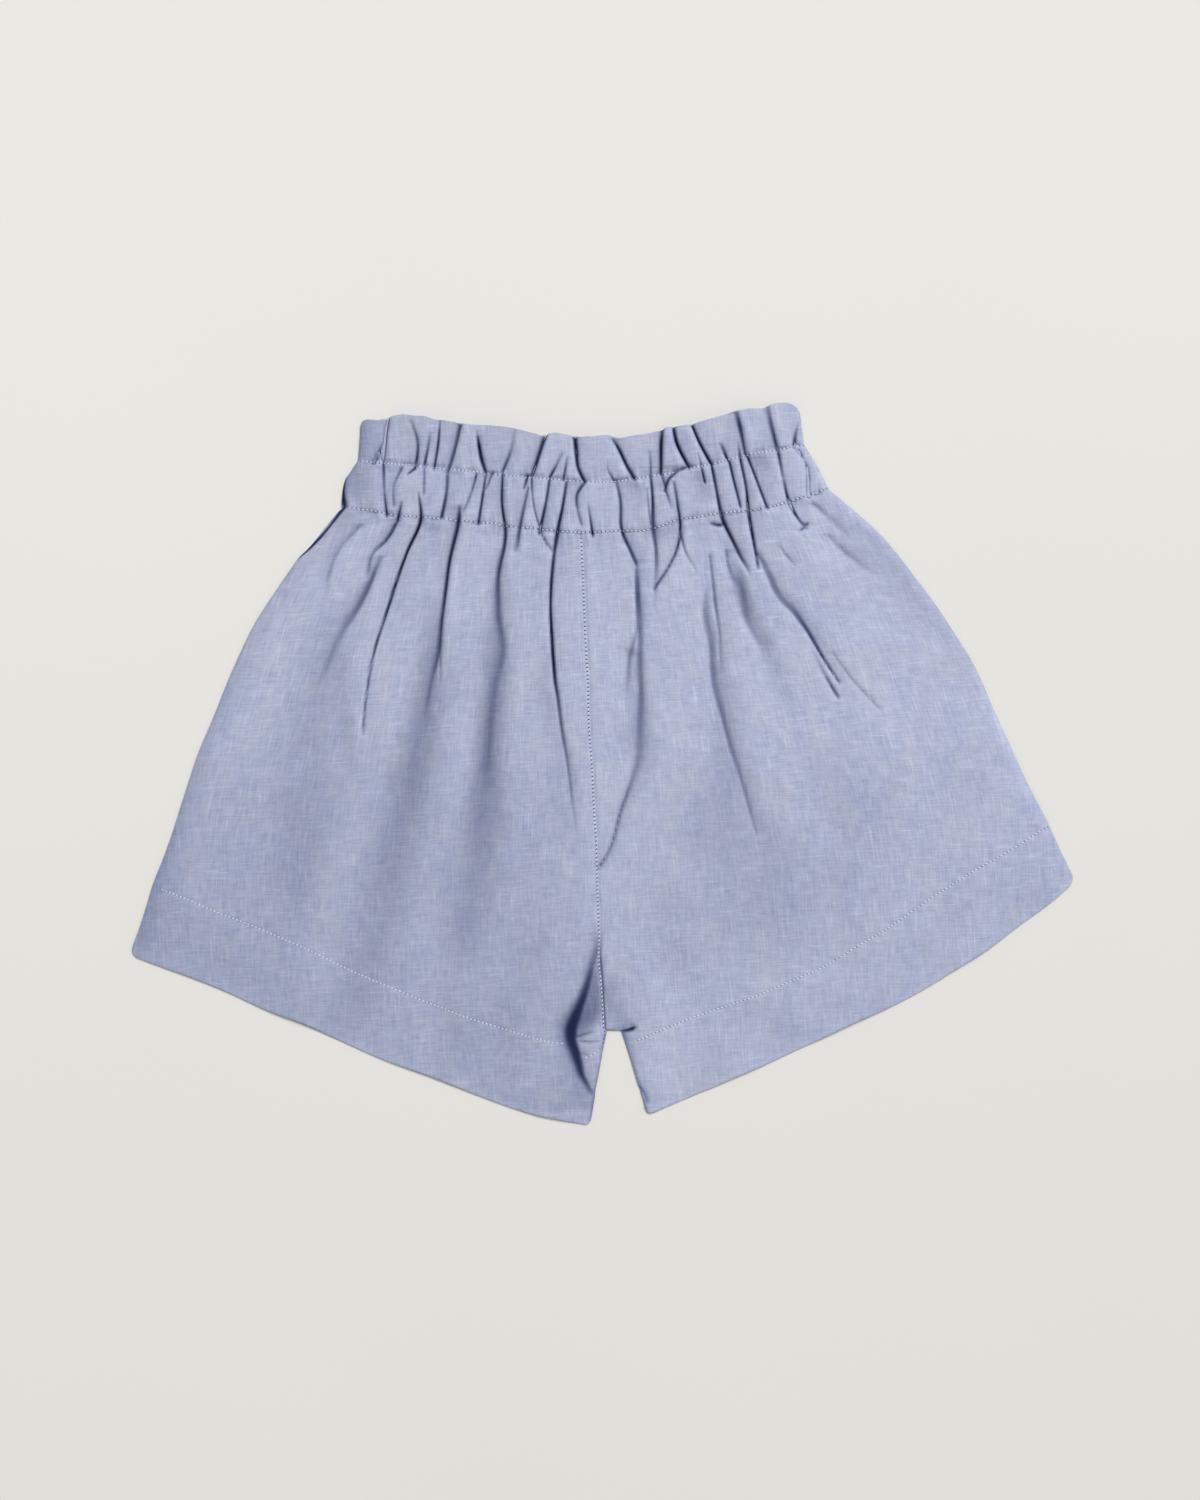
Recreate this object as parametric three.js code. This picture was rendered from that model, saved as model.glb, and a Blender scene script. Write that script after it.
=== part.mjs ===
// Pull-on shorts in pale blue chambray, laid flat with the front up.
// Millimetres: X runs across the garment, Y from the hems up to the waist, Z up from the
// surface that it lies on. The origin is under the middle of the garment's box.
//
// Each sewn piece is one closed wall of cloth, built as a grid of sections between its edges.
// The back lies flat on the surface, and the front lies on the back with the loft and the
// folds that the elastic gathers into it.

import * as THREE from "three";

// ---- walls and gaps -------------------------------------------------------------------
const GAP = 0.3; //        between pieces that are sewn together or lie on each other
const PANEL_WALL = 1.0; // one layer of the leg's cloth
const HEM_WALL = 2.0; //   cloth turned up on itself
const CASING_WALL = 2.2; // cloth folded round the elastic
const FRILL_WALL = 1.6; // cloth folded on itself above the elastic

// ---- flat size ------------------------------------------------------------------------
const CENTRE_X = -2; //       the centre seams
const WAIST_HALF = 139; //    centre to side along the casing's lower stitch line
const CASING_TOP_HALF = 128; // and along its upper stitch line
const FRILL_HALF = 126; //    and along the frill's edge
const CASING_LOW = { middle: 132, rise: 20, curve: 1.6 };
const CASING_TOP = { middle: 160.5, rise: 18, curve: 1.4 };
const FRILL_TOP = { middle: 187, rise: 17, curve: 1.3 };
const CROTCH_Y = -151;

// Corners and bends of the legs, as [x, y] with x measured outwards on either leg.
// waist: the casing's lower end; sideBend: control point of the side seam's curve;
// line...: the hem's stitch line; edge...: the hem's folded edge; notch: end of the crotch.
const LEGS = [
  {
    name: "left",
    outward: -1,
    sideBend: [212, 72],
    lineSide: [254, -58],
    lineBend: [128, -126],
    lineInner: [3, -166],
    edgeSide: [269, -94],
    edgeBend: [125, -170],
    edgeInner: [15, -204],
    notch: [1, -153],
  },
  {
    name: "right",
    outward: 1,
    sideBend: [212, 74],
    lineSide: [254, -47],
    lineBend: [131, -128],
    lineInner: [9, -160],
    edgeSide: [269, -80],
    edgeBend: [150, -160],
    edgeInner: [21, -201],
    notch: [7, -153],
  },
];
const SEAM_SHARE = 0.92; //  of the inner edge's sections: centre seam down to the crotch
const NOTCH_SHARE = 0.96; // and on to the end of the crotch

// ---- loft and folds -------------------------------------------------------------------
const LOFT = { waist: 6.5, hem: 1.2, edge: 34 }; // height at either end, and its run-in
const LOFT_FALL = 0.7; //  how quickly it goes from one to the other, below 1 for sooner
const HEM_FALL = 0.6; //   share of the leg's lowest loft that the stiffer hem has
const CROTCH_RUN = 60; //  length over which the loft comes down to the crotch
const HEM_RAMP = 0.9; //   where the panel starts to climb onto the back's thicker hem

// The largest folds of the front: a trough from the frill's edge (frill) through the
// casing's lower line (seam) to where it fades out on the leg (endX, endY).
const FOLDS = [
  { frill: -110, seam: -116, endX: -157, endY: 58, depth: 4.0 },
  { frill: -82, seam: -97, endX: -133, endY: 26, depth: 5.0 },
  { frill: -64, seam: -78, endX: -98, endY: 30, depth: 4.2 },
  { frill: -41, seam: -47, endX: -72, endY: -36, depth: 4.6 },
  { frill: -22, seam: -34, endX: -42, endY: 110, depth: 3.2 },
  { frill: -10, seam: -17, endX: -14, endY: -40, depth: 5.0 },
  { frill: 18, seam: 19, endX: 4, endY: -55, depth: 5.2 },
  { frill: 44, seam: 37, endX: 36, endY: 84, depth: 4.2 },
  { frill: 53, seam: 54, endX: 38, endY: 96, depth: 4.0 },
  { frill: 64, seam: 76, endX: 88, endY: -40, depth: 4.6 },
  { frill: 89, seam: 92, endX: 96, endY: 60, depth: 4.2 },
  { frill: 107, seam: 108, endX: 158, endY: 30, depth: 4.6 },
];
const FOLD_HALF_WIDTH = { seam: 4.5, end: 13 };

// ---- grids ----------------------------------------------------------------------------
const FRONT_GRID = [26, 20]; // columns across a piece and rows along it
const BACK_GRID = [12, 12];
const FRONT_HEM_GRID = [26, 3];
const BACK_HEM_GRID = [12, 1];
const FRONT_BAND_GRID = [64, 3];
const BACK_BAND_GRID = [24, 1];

const CLOTH = new THREE.MeshStandardMaterial({ color: 0xaab2cc, roughness: 0.92, metalness: 0 });

// ---- small helpers --------------------------------------------------------------------
const mix = (a, b, t) => a + (b - a) * t;
const mixPoint = (p, q, t) => [mix(p[0], q[0], t), mix(p[1], q[1], t)];

function smooth(from, to, value) {
  const t = THREE.MathUtils.clamp((value - from) / (to - from), 0, 1);
  return t * t * (3 - 2 * t);
}

// A quadratic curve's point.
function bent(start, bend, end, t) {
  return mixPoint(mixPoint(start, bend, t), mixPoint(bend, end, t), t);
}

// The Y of one of the waist's lines, which rise from the centre to the sides.
function lineY(line, x, half) {
  return line.middle + line.rise * Math.abs(x / half) ** line.curve;
}

// t moved in from both ends, so that a piece of that length stops half a gap short of each.
function inset(t, length) {
  return mix(GAP / 2 / length, 1 - GAP / 2 / length, t);
}

// ---- outline --------------------------------------------------------------------------
// The edges of a leg, each from 0 to 1: across from the centre, or down from the waist.
function legEdges(leg) {
  const place = ([x, y]) => [leg.outward * x, y];
  const sideX = leg.outward * WAIST_HALF;
  const waistCentre = [CENTRE_X, lineY(CASING_LOW, CENTRE_X, WAIST_HALF)];
  const waistSide = [sideX, lineY(CASING_LOW, sideX, WAIST_HALF)];
  const crotch = [CENTRE_X, CROTCH_Y];
  const notch = place(leg.notch);
  const lineInner = place(leg.lineInner);
  const lineSide = place(leg.lineSide);
  const waist = (u) => {
    const x = mix(waistCentre[0], sideX, u);
    return [x, lineY(CASING_LOW, x, WAIST_HALF)];
  };
  const inner = (v) => {
    if (v <= SEAM_SHARE) return mixPoint(waistCentre, crotch, v / SEAM_SHARE);
    if (v <= NOTCH_SHARE) {
      return mixPoint(crotch, notch, (v - SEAM_SHARE) / (NOTCH_SHARE - SEAM_SHARE));
    }
    return mixPoint(notch, lineInner, (v - NOTCH_SHARE) / (1 - NOTCH_SHARE));
  };
  return {
    panel: {
      top: waist,
      bottom: (u) => bent(lineInner, place(leg.lineBend), lineSide, u),
      inner,
      outer: (v) => bent(waistSide, place(leg.sideBend), lineSide, v),
    },
    hem: {
      top: (u) => bent(lineInner, place(leg.lineBend), lineSide, u),
      bottom: (u) => bent(place(leg.edgeInner), place(leg.edgeBend), place(leg.edgeSide), u),
      inner: (v) => mixPoint(lineInner, place(leg.edgeInner), v),
      outer: (v) => mixPoint(lineSide, place(leg.edgeSide), v),
    },
  };
}

// A point between four edges that meet at their corners: u across, v down.
function patch(edges, u, v) {
  const corner = (axis) =>
    (1 - u) * (1 - v) * edges.top(0)[axis] +
    u * (1 - v) * edges.top(1)[axis] +
    (1 - u) * v * edges.bottom(0)[axis] +
    u * v * edges.bottom(1)[axis];
  const blend = (axis) =>
    mix(edges.top(u)[axis], edges.bottom(u)[axis], v) +
    mix(edges.inner(v)[axis], edges.outer(v)[axis], u) -
    corner(axis);
  return [blend(0), blend(1)];
}

// A band of the waist between two of its lines; s runs from the left side to the right.
function band(low, lowHalf, high, highHalf) {
  return (s, v) => {
    const across = 2 * s - 1;
    const bottom = [across * lowHalf, lineY(low, across * lowHalf, lowHalf)];
    const top = [across * highHalf, lineY(high, across * highHalf, highHalf)];
    return mixPoint(bottom, top, v);
  };
}

// ---- folds ----------------------------------------------------------------------------
// How deep the front's troughs are at a point.
function foldDepth(x, y) {
  let depth = 0;
  for (const fold of FOLDS) {
    const seamY = lineY(CASING_LOW, fold.seam, WAIST_HALF);
    const down = (seamY - y) / (seamY - fold.endY);
    if (down >= 1) continue;
    const up = (y - seamY) / (FRILL_TOP.middle - seamY);
    const middle = down > 0 ? mix(fold.seam, fold.endX, down) : mix(fold.seam, fold.frill, up);
    const t = Math.max(down, 0);
    const halfWidth = mix(FOLD_HALF_WIDTH.seam, FOLD_HALF_WIDTH.end, t);
    depth += fold.depth * (1 - t) * Math.exp(-(((x - middle) / halfWidth) ** 2));
  }
  return depth;
}

// ---- walls of cloth -------------------------------------------------------------------
// One closed wall: at(u, v) gives [x, y, underside, thickness] over a grid of sections.
function wall([columns, rows], at) {
  const positions = [];
  const grid = (columns + 1) * (rows + 1);
  for (const upper of [0, 1]) {
    for (let row = 0; row <= rows; row++) {
      for (let column = 0; column <= columns; column++) {
        const [x, y, underside, thickness] = at(column / columns, row / rows);
        positions.push(x, y, underside + upper * thickness);
      }
    }
  }
  const index = (column, row, upper) => upper * grid + row * (columns + 1) + column;
  const faces = [];
  const quad = (a, b, c, d) => faces.push(a, b, c, a, c, d);
  for (let row = 0; row < rows; row++) {
    for (let column = 0; column < columns; column++) {
      for (const upper of [0, 1]) {
        const ring = [
          index(column, row, upper),
          index(column + 1, row, upper),
          index(column + 1, row + 1, upper),
          index(column, row + 1, upper),
        ];
        quad(...(upper ? ring : ring.reverse()));
      }
    }
  }
  const rim = [];
  for (let column = 0; column < columns; column++) rim.push([column, 0]);
  for (let row = 0; row < rows; row++) rim.push([columns, row]);
  for (let column = columns; column > 0; column--) rim.push([column, rows]);
  for (let row = rows; row > 0; row--) rim.push([0, row]);
  rim.forEach(([column, row], place) => {
    const [nextColumn, nextRow] = rim[(place + 1) % rim.length];
    quad(
      index(column, row, 0),
      index(nextColumn, nextRow, 0),
      index(nextColumn, nextRow, 1),
      index(column, row, 1),
    );
  });
  const geometry = new THREE.BufferGeometry();
  geometry.setAttribute("position", new THREE.Float32BufferAttribute(positions, 3));
  geometry.setIndex(signedArea(at) > 0 ? faces : flipped(faces));
  geometry.computeVertexNormals();
  return geometry;
}

// Whether a grid's u and v turn anticlockwise seen from above, as twice the area at its middle.
function signedArea(at) {
  const [x0, y0] = at(0.5, 0.5);
  const [x1, y1] = at(0.6, 0.5);
  const [x2, y2] = at(0.5, 0.6);
  return (x1 - x0) * (y2 - y0) - (x2 - x0) * (y1 - y0);
}

function flipped(faces) {
  const turned = [];
  for (let face = 0; face < faces.length; face += 3) {
    turned.push(faces[face], faces[face + 2], faces[face + 1]);
  }
  return turned;
}

const shorts = new THREE.Group();

function addPiece(name, geometry) {
  const mesh = new THREE.Mesh(geometry, CLOTH.clone());
  mesh.name = name;
  shorts.add(mesh);
}

// ---- legs and hems --------------------------------------------------------------------
// Height of the front's underside over the layer below it: nothing at the side seam and the
// inseam, and most at the waist.
function legLoft(x, y, u, v, width) {
  const fromSide = (1 - u) * width;
  const fromInner = u * width;
  const side = smooth(0, LOFT.edge, fromSide);
  const belowCrotch = smooth(CROTCH_Y + CROTCH_RUN, CROTCH_Y, y);
  const inner = mix(1, smooth(0, LOFT.edge, fromInner), belowCrotch);
  const loft = mix(LOFT.waist, LOFT.hem, v ** LOFT_FALL) * side * inner;
  return Math.max(0, loft - foldDepth(x, y) * side);
}

for (const leg of LEGS) {
  const { panel, hem } = legEdges(leg);
  const widthAt = (edges, v) => Math.abs(edges.outer(v)[0] - edges.inner(v)[0]);
  const lengthOf = (edges) => edges.inner(0)[1] - edges.inner(1)[1];
  const at = (edges, u, v) => patch(edges, inset(u, widthAt(edges, v)), inset(v, lengthOf(edges)));

  const front = (u, v) => {
    const [x, y] = at(panel, u, v);
    const below = mix(PANEL_WALL, HEM_WALL, smooth(HEM_RAMP, 1, v)) + GAP;
    return [x, y, below + legLoft(x, y, u, v, widthAt(panel, v)), PANEL_WALL];
  };
  const frontHem = (u, v) => {
    const [x, y] = at(hem, u, v);
    const loft = legLoft(x, y, u, 1, widthAt(hem, v)) * HEM_FALL;
    return [x, y, HEM_WALL + GAP + loft, HEM_WALL];
  };
  addPiece(`front_${leg.name}`, wall(FRONT_GRID, front));
  addPiece(`hem_front_${leg.name}`, wall(FRONT_HEM_GRID, frontHem));
  addPiece(`back_${leg.name}`, wall(BACK_GRID, (u, v) => [...at(panel, u, v), 0, PANEL_WALL]));
  addPiece(`hem_back_${leg.name}`, wall(BACK_HEM_GRID, (u, v) => [...at(hem, u, v), 0, HEM_WALL]));
}

// ---- waist ----------------------------------------------------------------------------
const casingAt = band(CASING_LOW, WAIST_HALF, CASING_TOP, CASING_TOP_HALF);
const frillAt = band(CASING_TOP, CASING_TOP_HALF, FRILL_TOP, FRILL_HALF);
const CASING_DEPTH = CASING_TOP.middle - CASING_LOW.middle;
const FRILL_DEPTH = FRILL_TOP.middle - CASING_TOP.middle;

function waistLoft(x, y, s) {
  const fromEnd = Math.min(s, 1 - s) * 2 * WAIST_HALF;
  const ends = smooth(0, LOFT.edge / 2, fromEnd);
  return Math.max(0, LOFT.waist - foldDepth(x, y)) * ends;
}

function addBand(name, at, depth, thickness) {
  const flat = (s, v) => at(s, inset(v, depth));
  const front = (s, v) => {
    const [x, y] = flat(s, v);
    return [x, y, thickness + GAP + waistLoft(x, y, s), thickness];
  };
  addPiece(`${name}_front`, wall(FRONT_BAND_GRID, front));
  addPiece(`${name}_back`, wall(BACK_BAND_GRID, (s, v) => [...flat(s, v), 0, thickness]));
}

addBand("casing", casingAt, CASING_DEPTH, CASING_WALL);
addBand("frill", frillAt, FRILL_DEPTH, FRILL_WALL);

export default shorts;
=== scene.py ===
"""Looks of the chambray shorts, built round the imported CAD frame.

The shorts lie flat with the front up. Every piece is a thin shell of cloth on its CAD solid's form:
a fine grid between the piece's edges, with the gathers and creases pressed into it one by one.
Cloth is worked out in millimetres, and turned into metres where a mesh is made.
"""

import math
from collections import namedtuple

import bpy
import numpy as np
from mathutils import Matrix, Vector


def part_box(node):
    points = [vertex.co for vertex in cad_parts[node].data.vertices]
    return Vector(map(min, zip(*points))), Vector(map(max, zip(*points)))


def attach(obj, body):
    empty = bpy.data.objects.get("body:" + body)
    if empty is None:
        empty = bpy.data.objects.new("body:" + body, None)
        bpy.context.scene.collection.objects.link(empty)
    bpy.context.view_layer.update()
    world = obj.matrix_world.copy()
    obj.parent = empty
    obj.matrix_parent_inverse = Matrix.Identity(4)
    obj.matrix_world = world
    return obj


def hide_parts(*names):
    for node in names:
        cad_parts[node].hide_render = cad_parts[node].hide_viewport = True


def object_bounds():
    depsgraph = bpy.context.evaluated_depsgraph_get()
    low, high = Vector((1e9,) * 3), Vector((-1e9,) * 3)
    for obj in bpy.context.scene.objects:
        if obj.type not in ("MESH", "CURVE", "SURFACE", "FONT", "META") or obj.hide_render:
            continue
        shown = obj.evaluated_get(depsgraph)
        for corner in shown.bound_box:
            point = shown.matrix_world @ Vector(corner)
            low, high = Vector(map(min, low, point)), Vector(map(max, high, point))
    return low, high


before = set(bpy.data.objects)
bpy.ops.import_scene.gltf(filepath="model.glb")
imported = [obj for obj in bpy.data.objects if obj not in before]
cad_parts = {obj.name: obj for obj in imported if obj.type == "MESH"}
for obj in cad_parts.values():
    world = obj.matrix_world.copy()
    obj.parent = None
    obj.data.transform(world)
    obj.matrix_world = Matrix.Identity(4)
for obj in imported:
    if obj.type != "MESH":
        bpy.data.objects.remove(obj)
CAD_LOW, CAD_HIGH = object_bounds()
MM = 0.001

# ---- how the cloth lies, in millimetres ------------------------------------------------------
CLOTH = 0.45  #         thickness of the chambray
FOLDED_CLOTH = 0.8  #   thickness where it is folded on itself
SURFACE_GAP = 0.05  #   lowest any cloth lies over the surface
FRONT_BASE = 1.0  #     lowest the front lies, on top of the back
SOFT_FLOOR = 0.35  #    how gently its troughs level out there
WAIST_LIFT = 6.6  #     how high the gathers stand over that
CASING_PUFF = 1.0  #    and how much higher the casing is between its stitch lines
FRILL_PUFF = 0.5
LEG_LIFT = 3.4  #       loft of the front just above the hems
EDGE_LIFT = 0.5  #      and at their lower edges
LIFT_FALL = 1.7  #      how late the loft falls from waist to hem
SIDE_ROUND = 5.0  #     the side seam's round edge, and the slow rise behind it
SIDE_RISE = 40.0
ROUND_SHARE = 0.45
CROTCH_Y = -151.5
CROTCH_RUN = 60.0
BACK_INSET = 0.6  #     how far the back's free edges stay inside the front's
BACK_GATHER = dict(width=6.0, height=2.3)  # the back's narrow gathers at the waist
BACK_FOLDS = dict(place=0.97, depth=0.3, deepest=1.6)  # shares of the front's, and a limit

SLOT_DEPTH = 3.2  #     depth of a fold of strength 1
SLOT_SPREAD = 1.5  #    how much cloth goes into a slot, for each millimetre of its half-width
PULL = 0.7  #           how far its two sides close up
SLOT_SHADE = 0.85  #    how wide a slot's painted shade is, for each millimetre of its half-width
SLOT_DARK = 2.2  #      how soon that painted shade is full as its strength grows
# Painted shade on a fold's sides by its slot and farther out, and how far that reaches on each side.
FLANK = dict(dark=0.14, shade=0.045, steep=0.6, gentle=2.2, even=1.0)
GENTLE_REACH = 8.0  #   how far a fold's gentle side reaches, and its steep one
STEEP_REACH = 1.8
EVEN_REACH = 4.0
SHOULDER = dict(height=0.3, place=3.4, reach=2.6)  # round ridge behind the steep side
SHOULDER_LIGHT = dict(amount=0.05, place=4.5, reach=2.5)  # and how much painted highlight it gets
FOLD_END = 1.8  #       half the length over which a fold starts and stops

HEM_DEPTH = 40.0
STITCH = dict(pitch=2.3, length=1.5, width=0.5, height=0.34, slant=0.22, setback=1.0)
NEEDLE_HOLES = dict(panel=0.9, hem=0.5, band=0.65)  # painted shade in the needle holes: how dark it is

# Each fold has a steep side (1 right, -1 left, 0 neither), the depth of its gentle side, and a
# path down its length with rows of x, y, strength and half-width. Strength 0 fades out and 1 is
# a sharp deep slot.
Fold = namedtuple("Fold", "steep skirt path")
FRILL_FOLDS = [
    Fold(1, 1.6, [(-109, 205, 1.0, 0.9), (-111.6, 192, 1.0, 0.9), (-114.1, 178, 1.6, 0.8)]),
    Fold(0, 0.5, [(-113, 188, 0.0, 0.6), (-119.6, 176, 2.0, 0.9)]),
    Fold(1, 1.5, [(-96.4, 200, 0.1, 1.2), (-93, 187, 0.45, 0.8), (-95.2, 172, 1.1, 0.7)]),
    Fold(1, 0.9, [(-85.6, 192, 0.1, 1.0), (-87.8, 182, 0.55, 0.7), (-90, 174, 0.9, 0.6)]),
    Fold(0, 0.9, [(-79.4, 200, 0.1, 0.5), (-81.6, 186, 1.0, 0.5), (-84.6, 172, 0.9, 0.5)]),
    Fold(1, 1.9, [(-67.8, 198, 0.6, 1.2), (-70.8, 188, 0.6, 1.0), (-77.4, 169, 0.6, 0.8)]),
    Fold(-1, 1.4, [(-59.2, 193, 0.0, 0.6), (-58.8, 189, 0.25, 0.7), (-58.4, 183, 1.3, 0.9),
        (-57.6, 176, 1.1, 1.1), (-55.6, 168, 0.9, 0.8)]),
    Fold(0, 1.8, [(-37, 193, 0.1, 1.0), (-39.6, 182, 0.2, 1.0), (-46, 168, 0.7, 0.7)]),
    Fold(1, 2.2, [(-19, 190, 0.9, 1.4), (-23.6, 179, 0.95, 1.1), (-29.4, 165, 1.1, 0.9)]),
    Fold(1, 0.8, [(-11, 177, 0.15, 1.0), (-15, 170, 0.35, 0.8), (-19.3, 163, 1.1, 0.7)]),
    Fold(0, 0.7, [(-8.4, 175, 0.1, 0.6), (-11.6, 161, 0.9, 0.6)]),
    Fold(-1, 2.0, [(-3.6, 189, 0.9, 1.2), (-3.2, 177, 1.3, 0.9), (-2.8, 168, 0.85, 0.8),
        (0.3, 160, 1.1, 0.8)]),
    Fold(-1, 1.6, [(17, 185, 0.0, 0.9), (19.6, 180, 0.7, 0.8), (21.4, 176, 1.0, 0.8),
        (24.6, 168, 0.9, 0.9), (29, 160, 0.9, 1.2)]),
    Fold(0, 0.6, [(15, 173, 0.0, 0.5), (13.6, 167, 0.15, 0.5), (17, 159, 0.5, 0.6)]),
    Fold(0, 0.6, [(38.4, 176, 0.15, 0.8), (38.3, 163, 0.5, 0.6)]),
    Fold(1, 1.7, [(46.2, 189, 0.45, 1.2), (45, 179, 1.3, 1.0), (44, 163, 0.85, 1.0)]),
    Fold(-1, 1.5, [(52, 191, 0.7, 0.8), (53.7, 180, 1.4, 0.8), (59.8, 166, 1.2, 0.8)]),
    Fold(-1, 1.5, [(62, 192, 0.8, 0.7), (65.7, 182, 1.1, 0.7), (73.1, 167, 1.1, 0.9)]),
    Fold(0, 0.5, [(65.6, 174, 0.1, 0.5), (68.4, 157, 1.0, 0.5)]),
    Fold(0, 0.7, [(79, 179, 0.05, 1.2), (83, 168, 1.2, 0.6)]),
    Fold(0, 0.5, [(89, 179, 0.0, 0.5), (90, 168, 0.9, 0.5)]),
    Fold(1, 2.0, [(88.2, 196, 0.2, 1.3), (90, 188, 0.75, 1.2), (91.6, 179, 0.6, 0.8),
        (93, 170, 0.5, 0.7)]),
    Fold(1, 2.2, [(106, 199, 0.2, 1.8), (107.5, 187, 0.5, 1.4), (109, 180, 0.6, 1.0),
        (110.4, 173, 1.0, 0.8)]),
    Fold(-1, 1.5, [(124, 190, 0.0, 0.9), (121, 181, 0.5, 0.9), (120, 175, 1.3, 0.9)]),
]
CASING_FOLDS = [
    Fold(1, 0.6, [(-135.4, 170, 1.0, 0.8), (-137, 160, 2.2, 0.9), (-136.6, 151, 3.6, 1.1)]),
    Fold(0, 1.2, [(-113.9, 177, 0.85, 0.6), (-114, 160, 0.3, 0.5), (-113, 146, 1.0, 0.6)]),
    Fold(1, 0.8, [(-94.8, 175, 0.65, 0.6), (-96.2, 172, 0.85, 0.6), (-99.6, 169, 0.6, 0.6)]),
    Fold(1, 1.0, [(-103, 173, 0.5, 0.7), (-108, 164, 0.22, 0.8), (-109, 151, 0.2, 0.8)]),
    Fold(0, 0.5, [(-90, 174, 0.4, 0.5), (-90.8, 157, 0.35, 0.5)]),
    Fold(-1, 1.5, [(-77.4, 169, 0.5, 0.7), (-78.2, 158, 0.65, 0.6), (-81.4, 143, 1.0, 0.8)]),
    Fold(1, 1.4, [(-103.6, 155, 0.0, 0.6), (-107, 143, 1.2, 1.0)]),
    Fold(-1, 1.0, [(-61, 167, 0.7, 0.5), (-65, 155, 0.4, 0.4), (-69.2, 146, 0.2, 0.7)]),
    Fold(-1, 1.4, [(-55.4, 168, 0.3, 0.7), (-57.5, 157, 0.9, 0.5), (-61.2, 139, 0.9, 0.7)]),
    Fold(0, 0.6, [(-51.6, 168, 0.6, 0.5), (-56, 158, 0.3, 0.5)]),
    Fold(1, 1.2, [(-31.8, 158, 0.35, 0.7), (-34.6, 147, 0.5, 0.8), (-38, 134, 0.7, 0.9),
        (-40.6, 122, 0.15, 1.6)]),
    Fold(0, 0.8, [(-29.8, 165, 0.8, 0.5), (-29.5, 153, 0.4, 0.4), (-26.2, 135, 0.45, 0.5),
        (-23.4, 127, 0.5, 0.5), (-19.8, 121.6, 0.3, 0.5)]),
    Fold(0, 0.8, [(-32, 165, 1.0, 0.6), (-34.4, 157, 0.3, 0.7)]),
    Fold(-1, 1.6, [(-19.3, 163, 0.7, 0.7), (-21.6, 150, 0.7, 0.7), (-26.6, 132, 1.3, 0.8)]),
    Fold(1, 1.3, [(0.8, 160, 0.65, 1.0), (-3.8, 153, 0.8, 0.6), (-4, 144, 0.3, 0.7),
        (-2, 135, 0.3, 0.7)]),
    Fold(0, 0.6, [(2, 147, 0.1, 0.5), (4, 129, 1.1, 0.6)]),
    Fold(0, 0.6, [(36, 155, 0.2, 0.5), (37, 134, 0.5, 0.4)]),
    Fold(1, 0.8, [(44, 164, 0.4, 0.7), (47, 152, 0.5, 0.5), (50, 141, 0.0, 0.5)]),
    Fold(1, 1.2, [(60.4, 167, 0.5, 0.7), (55, 165, 0.4, 1.0), (49.6, 161, 0.7, 0.8),
        (46, 153, 0.8, 0.7)]),
    Fold(-1, 1.1, [(83.6, 168, 0.9, 0.7), (85.1, 158, 0.8, 0.7), (88.4, 141, 0.7, 0.6)]),
    Fold(-1, 1.3, [(94, 170, 0.8, 0.6), (98.3, 157, 0.7, 0.6), (103.8, 140, 0.8, 0.6)]),
    Fold(-1, 1.3, [(120.2, 176, 1.0, 0.6), (125.6, 167, 0.15, 0.7), (127.2, 146, 1.3, 0.7)]),
]
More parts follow.
